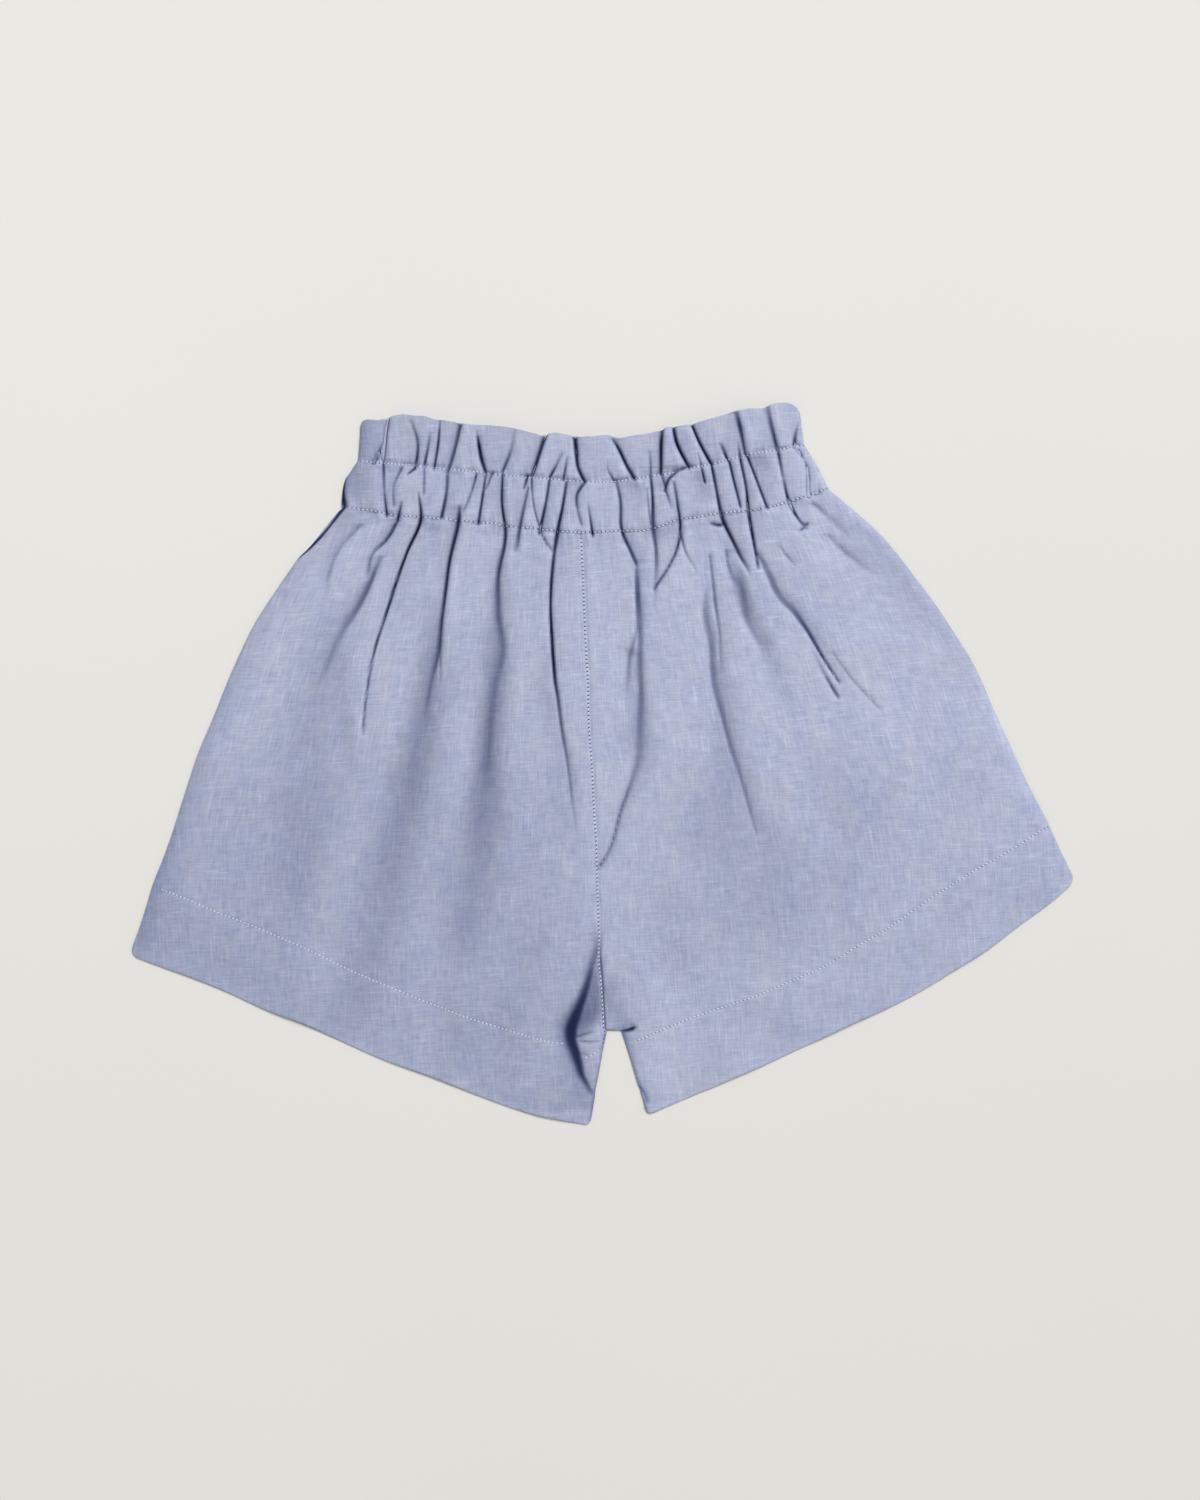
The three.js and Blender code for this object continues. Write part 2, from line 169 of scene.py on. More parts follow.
# These run from the casing, or from its lower stitch line, down into the legs.
LEFT_FOLDS = [
    Fold(1, 0.3, [(-136.2, 152, 2.0, 1.0), (-146, 141, 1.3, 0.7), (-159, 129, 3.2, 0.8),
        (-168.6, 121, 0.9, 0.6), (-174, 115, 0.1, 0.6)]),
    Fold(1, 1.0, [(-127.8, 141, 0.2, 0.8), (-139.4, 130, 0.12, 1.2), (-147, 116, 0.15, 1.6),
        (-150, 102, 0.0, 1.6)]),
    Fold(1, 1.4, [(-107, 143, 0.8, 1.0), (-114, 132, 0.65, 0.8), (-121.5, 125, 0.25, 1.0),
        (-124.6, 116, 0.35, 1.0), (-126, 110, 0.0, 1.2)]),
    Fold(1, 1.8, [(-117, 123, 0.12, 1.6), (-122.8, 111, 0.45, 1.7), (-129.4, 99, 0.42, 2.0),
        (-143, 77, 0.14, 2.4), (-152, 60, 0.12, 2.4), (-158, 48, 0.0, 2.4)]),
    Fold(0, 1.1, [(-93.8, 159, 0.1, 0.5), (-93.4, 142, 1.4, 0.9), (-101.8, 125, 2.0, 0.5),
        (-113.8, 96, 2.3, 0.45), (-124.2, 66, 0.9, 0.4), (-131.6, 26, 0.5, 0.5), (-132, 20, 0.0, 0.5)]),
    Fold(1, 2.3, [(-71, 151, 0.0, 0.8), (-72, 142, 0.95, 1.2), (-79, 114, 1.2, 0.8),
        (-83.3, 90, 0.75, 1.1), (-86.3, 70, 0.6, 1.4), (-91.6, 52, 0.26, 1.6), (-94, 40, 0.2, 1.6),
        (-97, 24, 0.0, 1.6)]),
    Fold(0, 0.3, [(-85, 73, 0.1, 0.4), (-86, 62, 0.35, 0.4), (-87, 46, 0.0, 0.4)]),
    Fold(1, 2.2, [(-46, 167, 0.6, 0.6), (-47, 150, 1.1, 0.5), (-46, 132, 0.9, 0.9), (-51, 108, 0.6, 1.1),
        (-52.6, 86, 0.34, 2.4), (-50.4, 66, 0.22, 3.0), (-56.4, 46, 0.16, 3.2), (-59, 30, 0.18, 3.0),
        (-62, 8, 0.13, 3.0), (-64, -12, 0.0, 3.0)]),
    Fold(-1, 1.6, [(-9.6, 161, 0.45, 0.7), (-12.4, 146, 1.2, 0.6), (-16.6, 131, 1.3, 1.0),
        (-19.1, 120, 0.8, 0.8), (-21, 105, 1.3, 0.7), (-21.8, 92, 1.2, 0.6), (-22, 72, 2.2, 0.6),
        (-22, 58, 1.7, 0.7), (-21.6, 48, 1.1, 0.8), (-20.2, 38, 0.7, 0.9), (-17.8, 8, 0.42, 0.7),
        (-15.2, -20, 0.25, 0.7), (-13.4, -44, 0.0, 0.7)]),
    Fold(1, 1.4, [(-4, -98, 0.0, 1.6), (-5.2, -107, 0.34, 2.2), (-8.4, -116, 0.5, 2.4),
        (-11.2, -124, 0.9, 2.2), (-14.2, -132, 1.4, 2.6), (-17, -139, 1.9, 2.7), (-19.4, -145, 2.6, 3.0),
        (-21.2, -151, 3.0, 3.2), (-21.4, -157, 2.6, 2.9), (-19.8, -163, 2.3, 2.9),
        (-18.2, -170, 1.8, 2.6), (-16.6, -177, 1.1, 2.2), (-14, -182, 0.7, 1.9), (-12, -186, 0.4, 1.8),
        (-10.6, -189, 0.0, 1.6)]),
]
RIGHT_FOLDS = [
    Fold(-1, 1.5, [(18, 160, 0.45, 0.7), (20, 149, 0.6, 0.7), (20.5, 131, 0.75, 0.9),
        (25, 119, 0.7, 0.8), (27.8, 111, 0.6, 0.8)]),
    Fold(-1, 1.5, [(28, 115, 0.1, 0.9), (27.6, 95, 0.7, 1.6), (27.6, 80, 0.42, 2.3),
        (27.8, 68, 0.36, 1.8), (27, 56, 0.28, 1.6), (26.7, 40, 0.36, 1.6), (25.8, 22, 0.24, 2.4),
        (24.6, 2, 0.2, 2.6), (20.4, -10, 0.22, 1.6), (11.7, -30, 0.45, 0.7), (3.3, -52, 0.42, 0.6),
        (-2, -60, 0.5, 0.6)]),
    Fold(0, 1.0, [(26, 76, 0.1, 1.5), (22, 62, 0.3, 1.5), (19, 42, 0.1, 1.5), (17, 30, 0.0, 1.5)]),
    Fold(-1, 1.5, [(38, 163, 0.5, 0.7), (39, 150, 1.0, 0.6), (38.5, 131, 0.6, 1.3), (39, 120, 0.6, 0.8),
        (38.6, 100, 0.16, 1.4), (37, 80, 0.0, 0.8)]),
    Fold(1, 1.4, [(51, 158, 0.3, 0.7), (53, 145, 0.65, 0.7), (54, 132, 1.0, 0.7), (51, 119, 1.0, 0.5),
        (44.6, 107, 0.7, 0.5), (37.6, 97, 1.1, 0.5)]),
    Fold(0, 0.7, [(54, 130, 0.6, 0.6), (55.8, 117, 0.3, 0.7), (62, 106, 0.1, 0.7)]),
    Fold(0, 0.5, [(69.8, 115, 0.25, 0.7), (71.9, 90, 0.42, 0.7), (73.8, 70, 0.24, 0.7),
        (73.6, 56, 0.15, 0.9), (73, 46, 0.0, 0.9)]),
    Fold(-1, 1.2, [(68, 100, 0.0, 1.4), (66.6, 84, 0.25, 2.2), (68.6, 64, 0.3, 2.0),
        (68.8, 42, 0.3, 2.0), (73.6, 20, 0.34, 1.2), (80, -6, 0.24, 1.0), (86.6, -32, 0.24, 0.6),
        (89.8, -45, 0.15, 0.5)]),
    Fold(-1, 2.0, [(73, 167, 1.0, 0.7), (74.8, 152, 0.7, 0.7), (78, 136, 1.1, 0.9),
        (83.5, 123, 0.85, 0.9), (87.6, 113, 0.6, 0.9), (90.8, 106, 0.25, 0.9), (92, 102, 0.0, 0.9)]),
    Fold(-1, 1.4, [(79.4, 117, 0.3, 0.5), (79.8, 110, 0.3, 0.6), (82, 103, 0.15, 1.4),
        (85.8, 97, 0.16, 2.6), (87, 92, 0.23, 2.8), (87.8, 86, 0.22, 2.4), (88.8, 80, 0.24, 2.2),
        (92.4, 71, 0.15, 2.2), (96.8, 62, 0.08, 2.2), (99.6, 53, 0.0, 2.2)]),
    Fold(-1, 1.6, [(90, 169, 0.8, 0.7), (92.2, 152, 0.7, 0.7), (93, 138, 1.6, 0.8), (95, 120, 0.9, 0.7),
        (96.2, 107, 0.6, 0.6)]),
    Fold(-1, 0.7, [(96.4, 116, 0.3, 0.8), (101, 106, 0.42, 1.6), (103.8, 100, 0.48, 1.9),
        (106.2, 94, 0.48, 2.0), (110.2, 88, 0.4, 2.1), (115.6, 82, 0.48, 1.9), (121, 74, 0.66, 1.3),
        (130.2, 57, 0.85, 0.6), (140.4, 39, 0.5, 0.5)]),
    Fold(0, 0.5, [(137, 57, 0.12, 0.7), (146, 43, 0.17, 0.7), (163, 23, 0.14, 0.6)]),
    Fold(0, 0.4, [(125, 62, 0.0, 1.6), (129.6, 51, 0.16, 1.6), (133, 43, 0.3, 1.0),
        (134.6, 39.5, 0.7, 0.5), (139.4, 30.4, 0.45, 1.0)]),
    Fold(-1, 1.3, [(110.6, 174, 1.0, 0.7), (113.5, 157, 0.3, 0.7), (117, 142, 1.2, 0.7),
        (121.4, 133, 0.6, 0.7), (126, 127, 0.2, 0.8)]),
    Fold(0, 0.7, [(127, 132, 0.0, 0.8), (124.6, 129, 0.9, 0.6), (120.8, 126, 0.3, 0.6)]),
    Fold(0, 0.6, [(107, 121, 0.0, 0.6), (113.4, 112, 0.2, 0.6), (119, 105, 0.0, 0.6)]),
    Fold(0, 0.8, [(130, 142, 0.25, 1.2), (144, 129, 0.1, 2.0), (156, 117, 0.0, 2.4)]),
    Fold(0, 0.8, [(138, 124, 0.1, 1.4), (148, 113, 0.16, 1.6), (157.4, 104, 0.08, 2.0),
        (166, 96, 0.0, 2.0)]),
    Fold(0, 0.4, [(15.2, -184, 0.9, 0.7), (18.4, -189, 0.4, 1.0), (20.4, -195, 0.4, 1.0)]),
]
FRONT_FOLDS = FRILL_FOLDS + CASING_FOLDS + LEFT_FOLDS + RIGHT_FOLDS
# Small creases that run across, at the crotch and the casing: the upper side counts as their right.
CROSS_FOLDS = [
    Fold(1, 0.6, [(15.6, -151.2, 0.4, 0.9), (13.6, -151.6, 2.6, 1.2), (10.6, -152.2, 1.8, 0.9),
        (6, -152.6, 0.5, 0.6)]),
    Fold(1, 0.5, [(-6, -152.6, 0.0, 0.5), (-12, -154.0, 0.3, 0.6), (-18, -156, 0.8, 0.8)]),
    Fold(-1, 0.7, [(-11, -166.6, 0.1, 0.6), (-15, -163.2, 0.4, 0.6), (-19.5, -158.6, 0.8, 0.8)]),
    Fold(0, 0.3, [(-4, -158, 0.0, 0.5), (-10, -158.4, 0.25, 0.6), (-17, -157.6, 0.3, 0.5)]),
    Fold(0, 0.5, [(80, 132.4, 0.3, 0.7), (76.4, 132, 0.9, 0.9), (72.6, 132.6, 0.6, 0.8),
        (70, 133.2, 0.0, 0.6)]),
]

# Soft hollows of the legs. Each is a path down its length, with rows of x, y, depth, and how far
# it reaches to its left and to its right.
HOLLOWS = [
    [(-117, 120, 0.1, 6, 3), (-126, 104, 0.5, 7, 4), (-137, 80, 0.4, 7, 5), (-144, 60, 0.4, 6, 7),
        (-143, 40, 0.6, 6, 5), (-141, 20, 1.0, 6, 5), (-141, 2, 0.3, 6, 5), (-141, -14, 0.0, 6, 5)],
    [(-128, 142, 0.3, 5, 4), (-136, 133, 0.5, 6, 4), (-145, 122, 0.2, 6, 5), (-152, 110, 0.0, 6, 5)],
    [(-106, 142, 0.3, 3, 3), (-112, 135, 0.6, 4, 3), (-120, 128, 0.3, 4, 3), (-124, 120, 0.0, 4, 3)],
    [(-88, 143, 0.3, 4, 4), (-87, 136, 1.0, 4, 4), (-86, 127, 0.0, 4, 4)],
    [(-138, 96, 0.2, 10, 8), (-150, 62, 0.9, 18, 12), (-160, 28, 1.2, 22, 16), (-156, 0, 0.9, 20, 12),
        (-166, -30, 0.8, 18, 17), (-173, -60, 0.8, 16, 12), (-186, -92, 0.3, 14, 12),
        (-200, -120, 0.0, 14, 12)],
    [(-88, 100, 0.2, 6, 6), (-92, 62, 1.9, 8, 8), (-97, 30, 2.6, 9, 10), (-104, 0, 2.5, 12, 11),
        (-113, -30, 1.8, 12, 13), (-121, -60, 1.5, 14, 14), (-130, -90, 1.25, 14, 16),
        (-139, -120, 0.9, 17, 19), (-150, -150, 0.3, 16, 18), (-156, -172, 0.0, 16, 18)],
    [(-48, 122, 0.3, 5, 4), (-49, 112, 1.2, 5, 4), (-50, 102, 0.8, 5, 5), (-52, 86, 1.3, 6, 6),
        (-54, 62, 2.3, 7, 8), (-58.5, 30, 3.0, 8, 7.5), (-63.5, 0, 3.3, 7.5, 8), (-68, -30, 2.4, 9, 12),
        (-72.5, -60, 1.5, 11, 15), (-79, -90, 1.1, 10, 17), (-84, -120, 0.4, 10, 18),
        (-88, -150, 0.8, 10, 18), (-92, -176, 0.3, 10, 18)],
    [(-42, -80, 0.0, 12, 12), (-42, -107, 0.7, 14, 10), (-48, -124, 0.5, 14, 12),
        (-54, -150, 0.6, 14, 12), (-58, -176, 0.0, 14, 12)],
    [(-25, 72, 0.2, 6, 3), (-26, 52, 1.1, 6, 3), (-23.4, 30, 1.1, 8, 3), (-17, 4, 0.7, 9, 3),
        (-14, -34, 0.4, 8, 3), (-12, -70, 0.0, 8, 4)],
    [(-7, -104, 0.0, 6, 3), (-12, -120, 0.6, 5, 2), (-19, -134, 0.5, 4, 3), (-25, -150, 1.8, 6, 3),
        (-24, -164, 1.8, 5, 3), (-20, -180, 1.2, 6, 5), (-17, -194, 0.6, 9, 6)],
    [(-10, -164, 0.0, 4, 4), (-11, -174, 0.4, 5, 5), (-10, -187, 0.6, 7, 6), (-9, -202, 0.3, 14, 8)],
    [(8, -152, 1.0, 2, 3), (9, -156, 2.2, 2, 3), (10.5, -163, 0.9, 2, 3), (12, -170, 0.0, 2, 3)],
    [(-6, -90, 0.0, 4, 3), (-6, -102, 0.7, 4, 3), (-8, -114, 0.3, 4, 3), (-11, -124, 0.0, 4, 3)],
    [(-2, -110, 0.0, 3, 4), (-4.4, -118, 1.6, 3, 3), (-7, -126, 3.2, 4, 3), (-8, -137, 4.6, 6, 5),
        (-12.6, -146, 5.0, 6, 6), (-16, -152, 2.9, 4, 6), (-16, -158, 0.6, 4, 4)],
    [(2, -120, 0.0, 5, 5), (3, -130, 1.1, 6, 6), (4, -142, 1.6, 6, 6), (7, -150, 1.6, 6, 6)],
    [(20, -96, 0.0, 10, 10), (24, -130, -0.5, 8, 10), (30, -165, -0.5, 8, 10), (32, -190, -0.2, 8, 10)],
    [(27, 122, 0.1, 4, 4), (28, 112, 0.2, 4, 4), (27, 100, 0.3, 4, 5), (26, 90, 0.0, 4, 5)],
    [(20, 66, 0.1, 4, 5), (24, 60, 1.6, 4, 4), (24, 42, 1.4, 5, 4), (24, 14, 1.5, 6, 7),
        (23, -8, 0.6, 5, 7), (11, -30, 0.5, 6, 3), (3, -50, 0.4, 6, 3), (-3, -64, 0.0, 6, 3)],
    [(66, 88, 0.1, 6, 5), (69, 60, 0.8, 5, 7), (72, 32, 1.2, 6, 8), (75, 4, 1.2, 9, 7),
        (83, -28, 0.7, 12, 8), (96, -52, 0.5, 12, 10), (100, -72, 0.4, 12, 12), (104, -90, 0.0, 12, 12)],
    [(62, 8, 0.0, 22, 18), (64, -22, 0.35, 26, 18), (78, -58, 0.65, 34, 30), (90, -92, 0.65, 36, 22),
        (96, -112, 0.3, 30, 20), (100, -130, 0.0, 30, 20)],
    [(30, -70, 0.0, 12, 12), (38, -88, 0.7, 12, 14), (43, -114, 0.5, 12, 14), (62, -136, 0.1, 12, 14),
        (84, -144, 0.25, 12, 12), (98, -154, 0.5, 11, 9), (104, -170, 0.0, 12, 12)],
    [(122, 4, 0.0, 8, 12), (130, -28, 0.35, 9, 14), (140, -58, 0.5, 9, 9), (137, -80, 0.4, 12, 9),
        (134, -100, 0.4, 9, 9), (132, -116, 0.0, 9, 9)],
    [(84, 108, 0.2, 4, 4), (86, 94, 1.0, 6, 5), (92, 80, 0.9, 6, 4), (99, 62, 1.1, 5, 5),
        (107, 32, 0.5, 6, 6), (114, 8, 0.0, 8, 8)],
    [(74, 138, 0.3, 4, 2), (80, 124, 0.8, 5, 3), (84, 110, 0.6, 5, 4), (85, 100, 1.3, 4.5, 4),
        (85.6, 92, 1.1, 4, 3.5), (89, 82, 0.8, 4, 3), (92, 72, 0.0, 4, 3)],
    [(132, 132, 0.1, 6, 6), (146, 118, 0.3, 9, 6), (160, 102, 0.3, 10, 8), (176, 82, 0.2, 10, 10),
        (190, 60, 0.0, 10, 10)],
    [(104, 108, 0.2, 5, 3), (112, 92, 0.3, 5, 3), (126, 70, 0.4, 5, 3), (142, 40, 0.3, 5, 3),
        (148, 20, 0.0, 5, 3)],
    [(22, 163, 0.2, 4, 4), (28, 156, 1.6, 6, 5), (31, 149, 0.8, 5, 5), (32, 142, 0.0, 5, 5)],
    [(66, 166, 0.3, 4, 4), (66, 158, 1.8, 5, 5), (68, 150, 1.0, 5, 4), (70, 142, 0.0, 5, 4)],
    [(99, 172, 0.2, 4, 4), (102, 165, 1.1, 5, 5), (104, 156, 0.0, 5, 5)],
    [(-62, 166, 0.3, 3, 3), (-61, 159, 0.7, 4, 3), (-60, 152, 0.0, 4, 3)],
    [(-128, 168, 0.3, 6, 5), (-127, 156, 0.8, 6, 5), (-124, 148, 0.5, 5, 5), (-120, 140, 0.0, 5, 5)],
    [(33, 137, 0.2, 4, 6), (38, 130, 1.4, 5, 7), (41, 121, 0.0, 5, 7)],
    [(-53, 146, 0.0, 4, 4), (-54, 138, 0.9, 4, 4), (-56, 130, 0.0, 4, 4)],
    [(-140, -150, 0.0, 60, 60), (-60, -180, 0.2, 60, 40), (-20, -196, 0.5, 30, 20)],
]
HOLLOW_SHADE = 0.22  # how much painted shade each millimetre of hollow adds

# Painted shade by place, for where the cloth turns from the window or is drawn up; under 0 it is
# painted highlight. Each row has the amount, the X where it begins and where it is full, the same in
# Y, the Y where it has gone again and where it is still full, and how far it reaches in from the side seam.
Shade = namedtuple("Shade", "amount x y until side", defaults=(None, None, None, None))
SHADES = [
    Shade(0.012),
    Shade(0.06, y=(30, -30)),
    Shade(0.03, y=(105, 145)),
    Shade(0.045, x=(-5, -30)),
    Shade(0.05, x=(-5, -30), y=(60, -100)),
    Shade(0.02, x=(20, 60), y=(20, -30)),
    Shade(0.05, x=(-130, -200), y=(60, -40)),
    Shade(0.16, x=(0, -20), side=7),
    Shade(-0.02, x=(0, -20), y=(60, 110), side=8),
    Shade(0.04, x=(0, -20), y=(-20, -60), side=25),
    Shade(-0.045, x=(0, 20), y=(50, 10), side=16),
    Shade(0.15, x=(0, 20), y=(10, 70), until=(150, 110), side=14),
    Shade(0.14, x=(0, -20), y=(135, 150), side=13),
]

# ---- small helpers ---------------------------------------------------------------------------


def mix(a, b, t):
    return a + (b - a) * t


def smooth(low, high, value):
    t = np.clip((value - low) / (high - low), 0, 1)
    return t * t * (3 - 2 * t)


def bell(value, width):
    return np.exp(-((value / width) ** 2))


def curve(knots, values, at):
    """A smooth curve through values at rising knots."""
    knots, values = np.asarray(knots, float), np.asarray(values, float)
    slopes = np.gradient(values, knots)
    i = np.clip(np.searchsorted(knots, at) - 1, 0, len(knots) - 2)
    step = knots[i + 1] - knots[i]
    t = np.clip((at - knots[i]) / step, 0, 1)
    ease = t * t * (3 - 2 * t)
    bend = t * (1 - t) * step * (slopes[i] * (1 - t) - slopes[i + 1] * t)
    return mix(values[i], values[i + 1], ease) + bend


def through(route, t):
    """Points at shares t of the length of a smooth curve through a few points."""
    route = np.asarray(route, float)
    steps = np.linalg.norm(np.diff(route, axis=0), axis=1)
    knots = np.concatenate([[0], np.cumsum(steps)]) / steps.sum()
    return np.stack([curve(knots, route[:, axis], np.asarray(t)) for axis in (0, 1)], -1)


def ripple(x, y, size, seed):
    """Smooth uneven waves of about that length, mostly from -1 to 1."""
    chance = np.random.default_rng(seed)
    total = 0
    for _ in range(14):
        angle, phase = chance.uniform(0, 2 * math.pi, 2)
        pace = 2 * math.pi / size * chance.uniform(0.45, 1.6)
        total = total + np.sin(pace * (x * math.cos(angle) + y * math.sin(angle)) + phase)
    return total / 3.7


# ---- outline, from the frame's boxes ---------------------------------------------------------


def box_mm(node):
    low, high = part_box(node)
    return np.array(low) / MM, np.array(high) / MM


CENTRE_X = box_mm("front_right")[0][0]
WAIST_HALF = box_mm("casing_front")[1][0]
LOW_LINE_Y = box_mm("casing_front")[0][1]
TOP_LINE_Y = box_mm("frill_front")[0][1]
FRILL_Y = box_mm("frill_front")[1][1]

# The waist's lines, with rows of x and of height over the lowest point of the CAD's line, or
# under the highest for the frill's edge.
Line = namedtuple("Line", "left right base rows")
LOW_LINE = Line(
    -WAIST_HALF, WAIST_HALF, LOW_LINE_Y,
    [(-139, 19), (-100, 12), (-60, 6.4), (-16, 0), (8, -2), (38, -0.6), (63, 4), (103, 7.4), (139, 17)],
)
TOP_LINE = Line(
    -128.5, 126, TOP_LINE_Y,
    [(-128, 17), (-104, 15), (-55, 7.6), (-18, 2), (12, -1), (30, 0.4), (60, 5.4), (100, 11.4), (126, 16)],
)
FRILL_EDGE = Line(
    -125.5, 124.5, FRILL_Y,
    [
        (-126, -1.6), (-112, -2.5), (-108.5, -1.5), (-102, -0.7), (-94, -1.9), (-88, -2.5), (-83, -4.3),
        (-76, -5.3), (-60, -8.7), (-52, -9.6), (-36, -12), (-28, -14.3), (-21, -16), (-14, -15.3), (-6, -17),
        (4, -17.8), (16, -17.8), (20, -19.5), (28, -18.8), (40, -17.6), (50, -15), (60, -14.2), (72, -11.6),
        (96, -6.8), (104, -6.6), (109, -4.6), (116, -3.8), (124, -4.9),
    ],
)


def line_y(line, x):
    xs, rises = zip(*line.rows)
    return line.base + curve(xs, rises, x)


def over(line, plan):
    """Height of a plan's points over one of the waist's lines."""
    return plan.y - line_y(line, plan.x)


# Points between the corners of each leg's edges, with X measured outwards. The side seam and the
# stitch line of the hem run down and out, the hem's edge runs out.
SIDE_REACH = 1.8  # the cloth's side seams reach past the CAD's at the hems
LEGS = {
    "left": dict(
        outward=-1,
        crotch=(1, -152),
        side=[(156, 133), (182, 101), (206, 60), (225, 18), (242, -24)],
        line=[
            (16.5, -166.4), (23, -160), (31, -157.8), (61, -147), (94, -134), (126, -120), (168, -98),
            (205, -80),
        ],
        line_side_y=-57,
        edge=[(44, -198), (86, -181.5), (128, -163), (184, -136), (226, -116)],
        edge_inner=(13, -205.5),
        line_rise=5.5,  # of the stitch line's inner end, over the CAD's
        edge_side=(270, -97),
    ),
    "right": dict(
        outward=1,
        crotch=(7, -152),
        side=[(160, 131), (183, 102), (204, 71), (222, 36), (238, -8)],
        line=[(45, -147), (82, -136), (128, -118), (163, -99), (199, -77)],
        line_side_y=-46,
        edge=[(48, -191), (91, -174.5), (135, -156.5), (178, -138), (222, -113)],
        edge_inner=(20, -201.5),
        line_rise=0,
        edge_side=(269.5, -80),
    ),
}
INNER_STOPS = (0, 0.92, 0.96, 1)  # centre seam, crotch, end of its notch, stitch line


def leg_edges(name):
    """A leg's panel and hem, each as its four edges: top, bottom, inner and outer."""
    leg = LEGS[name]
    out = leg["outward"]
    panel_low, panel_high = box_mm(f"front_{name}")
    hem_low, hem_high = box_mm(f"hem_front_{name}")
    far, near = (0, 1) if out < 0 else (1, 0)
    panel_x, hem_x = (panel_low[0], panel_high[0]), (hem_low[0], hem_high[0])
    flip = lambda route: [(out * x, y) for x, y in route]
    line_inner = (hem_x[near], panel_low[1] + leg["line_rise"])
    line_side = (panel_x[far] + out * SIDE_REACH, leg["line_side_y"])
    edge_inner, edge_side = flip([leg["edge_inner"], leg["edge_side"]])
    side_x = out * WAIST_HALF
    side = [(side_x, line_y(LOW_LINE, side_x)), *flip(leg["side"]), line_side]
    line = [line_inner, *flip(leg["line"]), line_side]
    edge = [edge_inner, *flip(leg["edge"]), edge_side]
    inner = [(CENTRE_X, line_y(LOW_LINE, CENTRE_X)), (CENTRE_X, CROTCH_Y)]
    inner += [*flip([leg["crotch"]]), line_inner]

    def waist(u):
        x = mix(CENTRE_X, side_x, np.asarray(u))
        return np.stack([x, line_y(LOW_LINE, x)], -1)

    def inseam(v):
        return np.stack([np.interp(v, INNER_STOPS, [p[axis] for p in inner]) for axis in (0, 1)], -1)

    run = lambda route: lambda t: through(route, t)
    panel = (waist, run(line), inseam, run(side))
    hem = (run(line), run(edge), run([line_inner, edge_inner]), run([line_side, edge_side]))
    return panel, hem


def patch(edges, u, v):
    """Points between four edges that meet at their corners: u across, v down."""
    top, bottom, inner, outer = edges
    across, down = u[..., None], v[..., None]
    corners = mix(mix(top(0.0), top(1.0), across), mix(bottom(0.0), bottom(1.0), across), down)
    return mix(top(u), bottom(u), down) + mix(inner(v), outer(v), across) - corners


# ---- plans: where each grid point lies before it is draped ------------------------------------
# x, y: place; lift: loft; side, inner: distance from the side seam and from the inner seam;
# hem: height over the hem's stitch line, below it negative; weft: place across the cloth;
# run, off: place along a row of stitches, and how far from it; pits: how dark its holes' painted shade is.
Plan = namedtuple("Plan", "x y lift side inner hem weft run off pits")
FAR = 1e3
# How much wider the cloth is at the waist than it lies there. The photo doesn't show it: it is
# taken so that the waist, 0.80 m round, about passes over an adult's hips.
GATHER = 0.45


def mesh_grid(columns, rows):
    return np.meshgrid(np.linspace(0, 1, columns + 1), np.linspace(0, 1, rows + 1))


# Rounded corners, each with its u end, v end and radius.
HEM_CORNERS = [(1, 1, 5.0), (0, 1, 3.0)]
FRILL_CORNERS = [(0, 1, 5.0), (1, 1, 6.0)]


def rounded(u, v, width, length, corners):
    """u, v with these corners rounded."""
    for end_u, end_v, radius in corners:
        p = 1 - np.abs(u - end_u) * width / radius
        q = 1 - np.abs(v - end_v) * length / radius
        inside = (p > 0) & (q > 0)
        p, q = np.where(inside, p, 0), np.where(inside, q, 0)
        share = np.where(inside, np.maximum(p, q) / np.maximum(np.hypot(p, q), 1e-9), 1)
        u = u + np.where(inside, (p - p * share) * radius / width * (1 - 2 * end_u), 0)
        v = v + np.where(inside, (q - q * share) * radius / length * (1 - 2 * end_v), 0)
    return u, v


def distance_along(x, y, axis):
    """Distance along the grid from its start, for the row or column of points given."""
    steps = np.hypot(np.diff(x), np.diff(y))
    total = np.concatenate([[0], np.cumsum(steps)])
    return total[None, :] if axis else total[:, None]


def panel_plan(name, columns, rows):
    panel, _ = leg_edges(name)
    u, v = mesh_grid(columns, rows)
    x, y = np.moveaxis(patch(panel, u, v), -1, 0)
    width = np.abs(x[:, -1:] - x[:, :1])
    length = y[:1] - y[-1:]
    lift = mix(WAIST_LIFT, LEG_LIFT, v**LIFT_FALL)
    weft = x * (1 + GATHER * (1 - v) ** 2)
    run = distance_along(x[:, 0], y[:, 0], 0) + 0 * u
    off = u * width - STITCH["setback"] if LEGS[name]["outward"] < 0 else FAR + 0 * u
    side, inner, hem = (1 - u) * width, u * width, (1 - v) * length
    return Plan(x, y, lift, side, inner, hem, weft, run, off, NEEDLE_HOLES["panel"])


def hem_plan(name, columns, rows):
    _, hem = leg_edges(name)
    u, v = mesh_grid(columns, rows)
    width = np.abs(hem[1](1.0)[0] - hem[1](0.0)[0])
    u, v = rounded(u, v, width, HEM_DEPTH, HEM_CORNERS)
    x, y = np.moveaxis(patch(hem, u, v), -1, 0)
    lift = mix(LEG_LIFT, EDGE_LIFT, v**1.5)
    run = distance_along(x[0], y[0], 1) + 0 * u
    off = v * HEM_DEPTH - STITCH["setback"]
    return Plan(x, y, lift, (1 - u) * width, u * width, -v * HEM_DEPTH, x, run, off, NEEDLE_HOLES["hem"])


def wander(x):
    """How far the waist's rows of stitches stray, in millimetres."""
    return 0.4 * ripple(x, 0 * x, 17, 31)


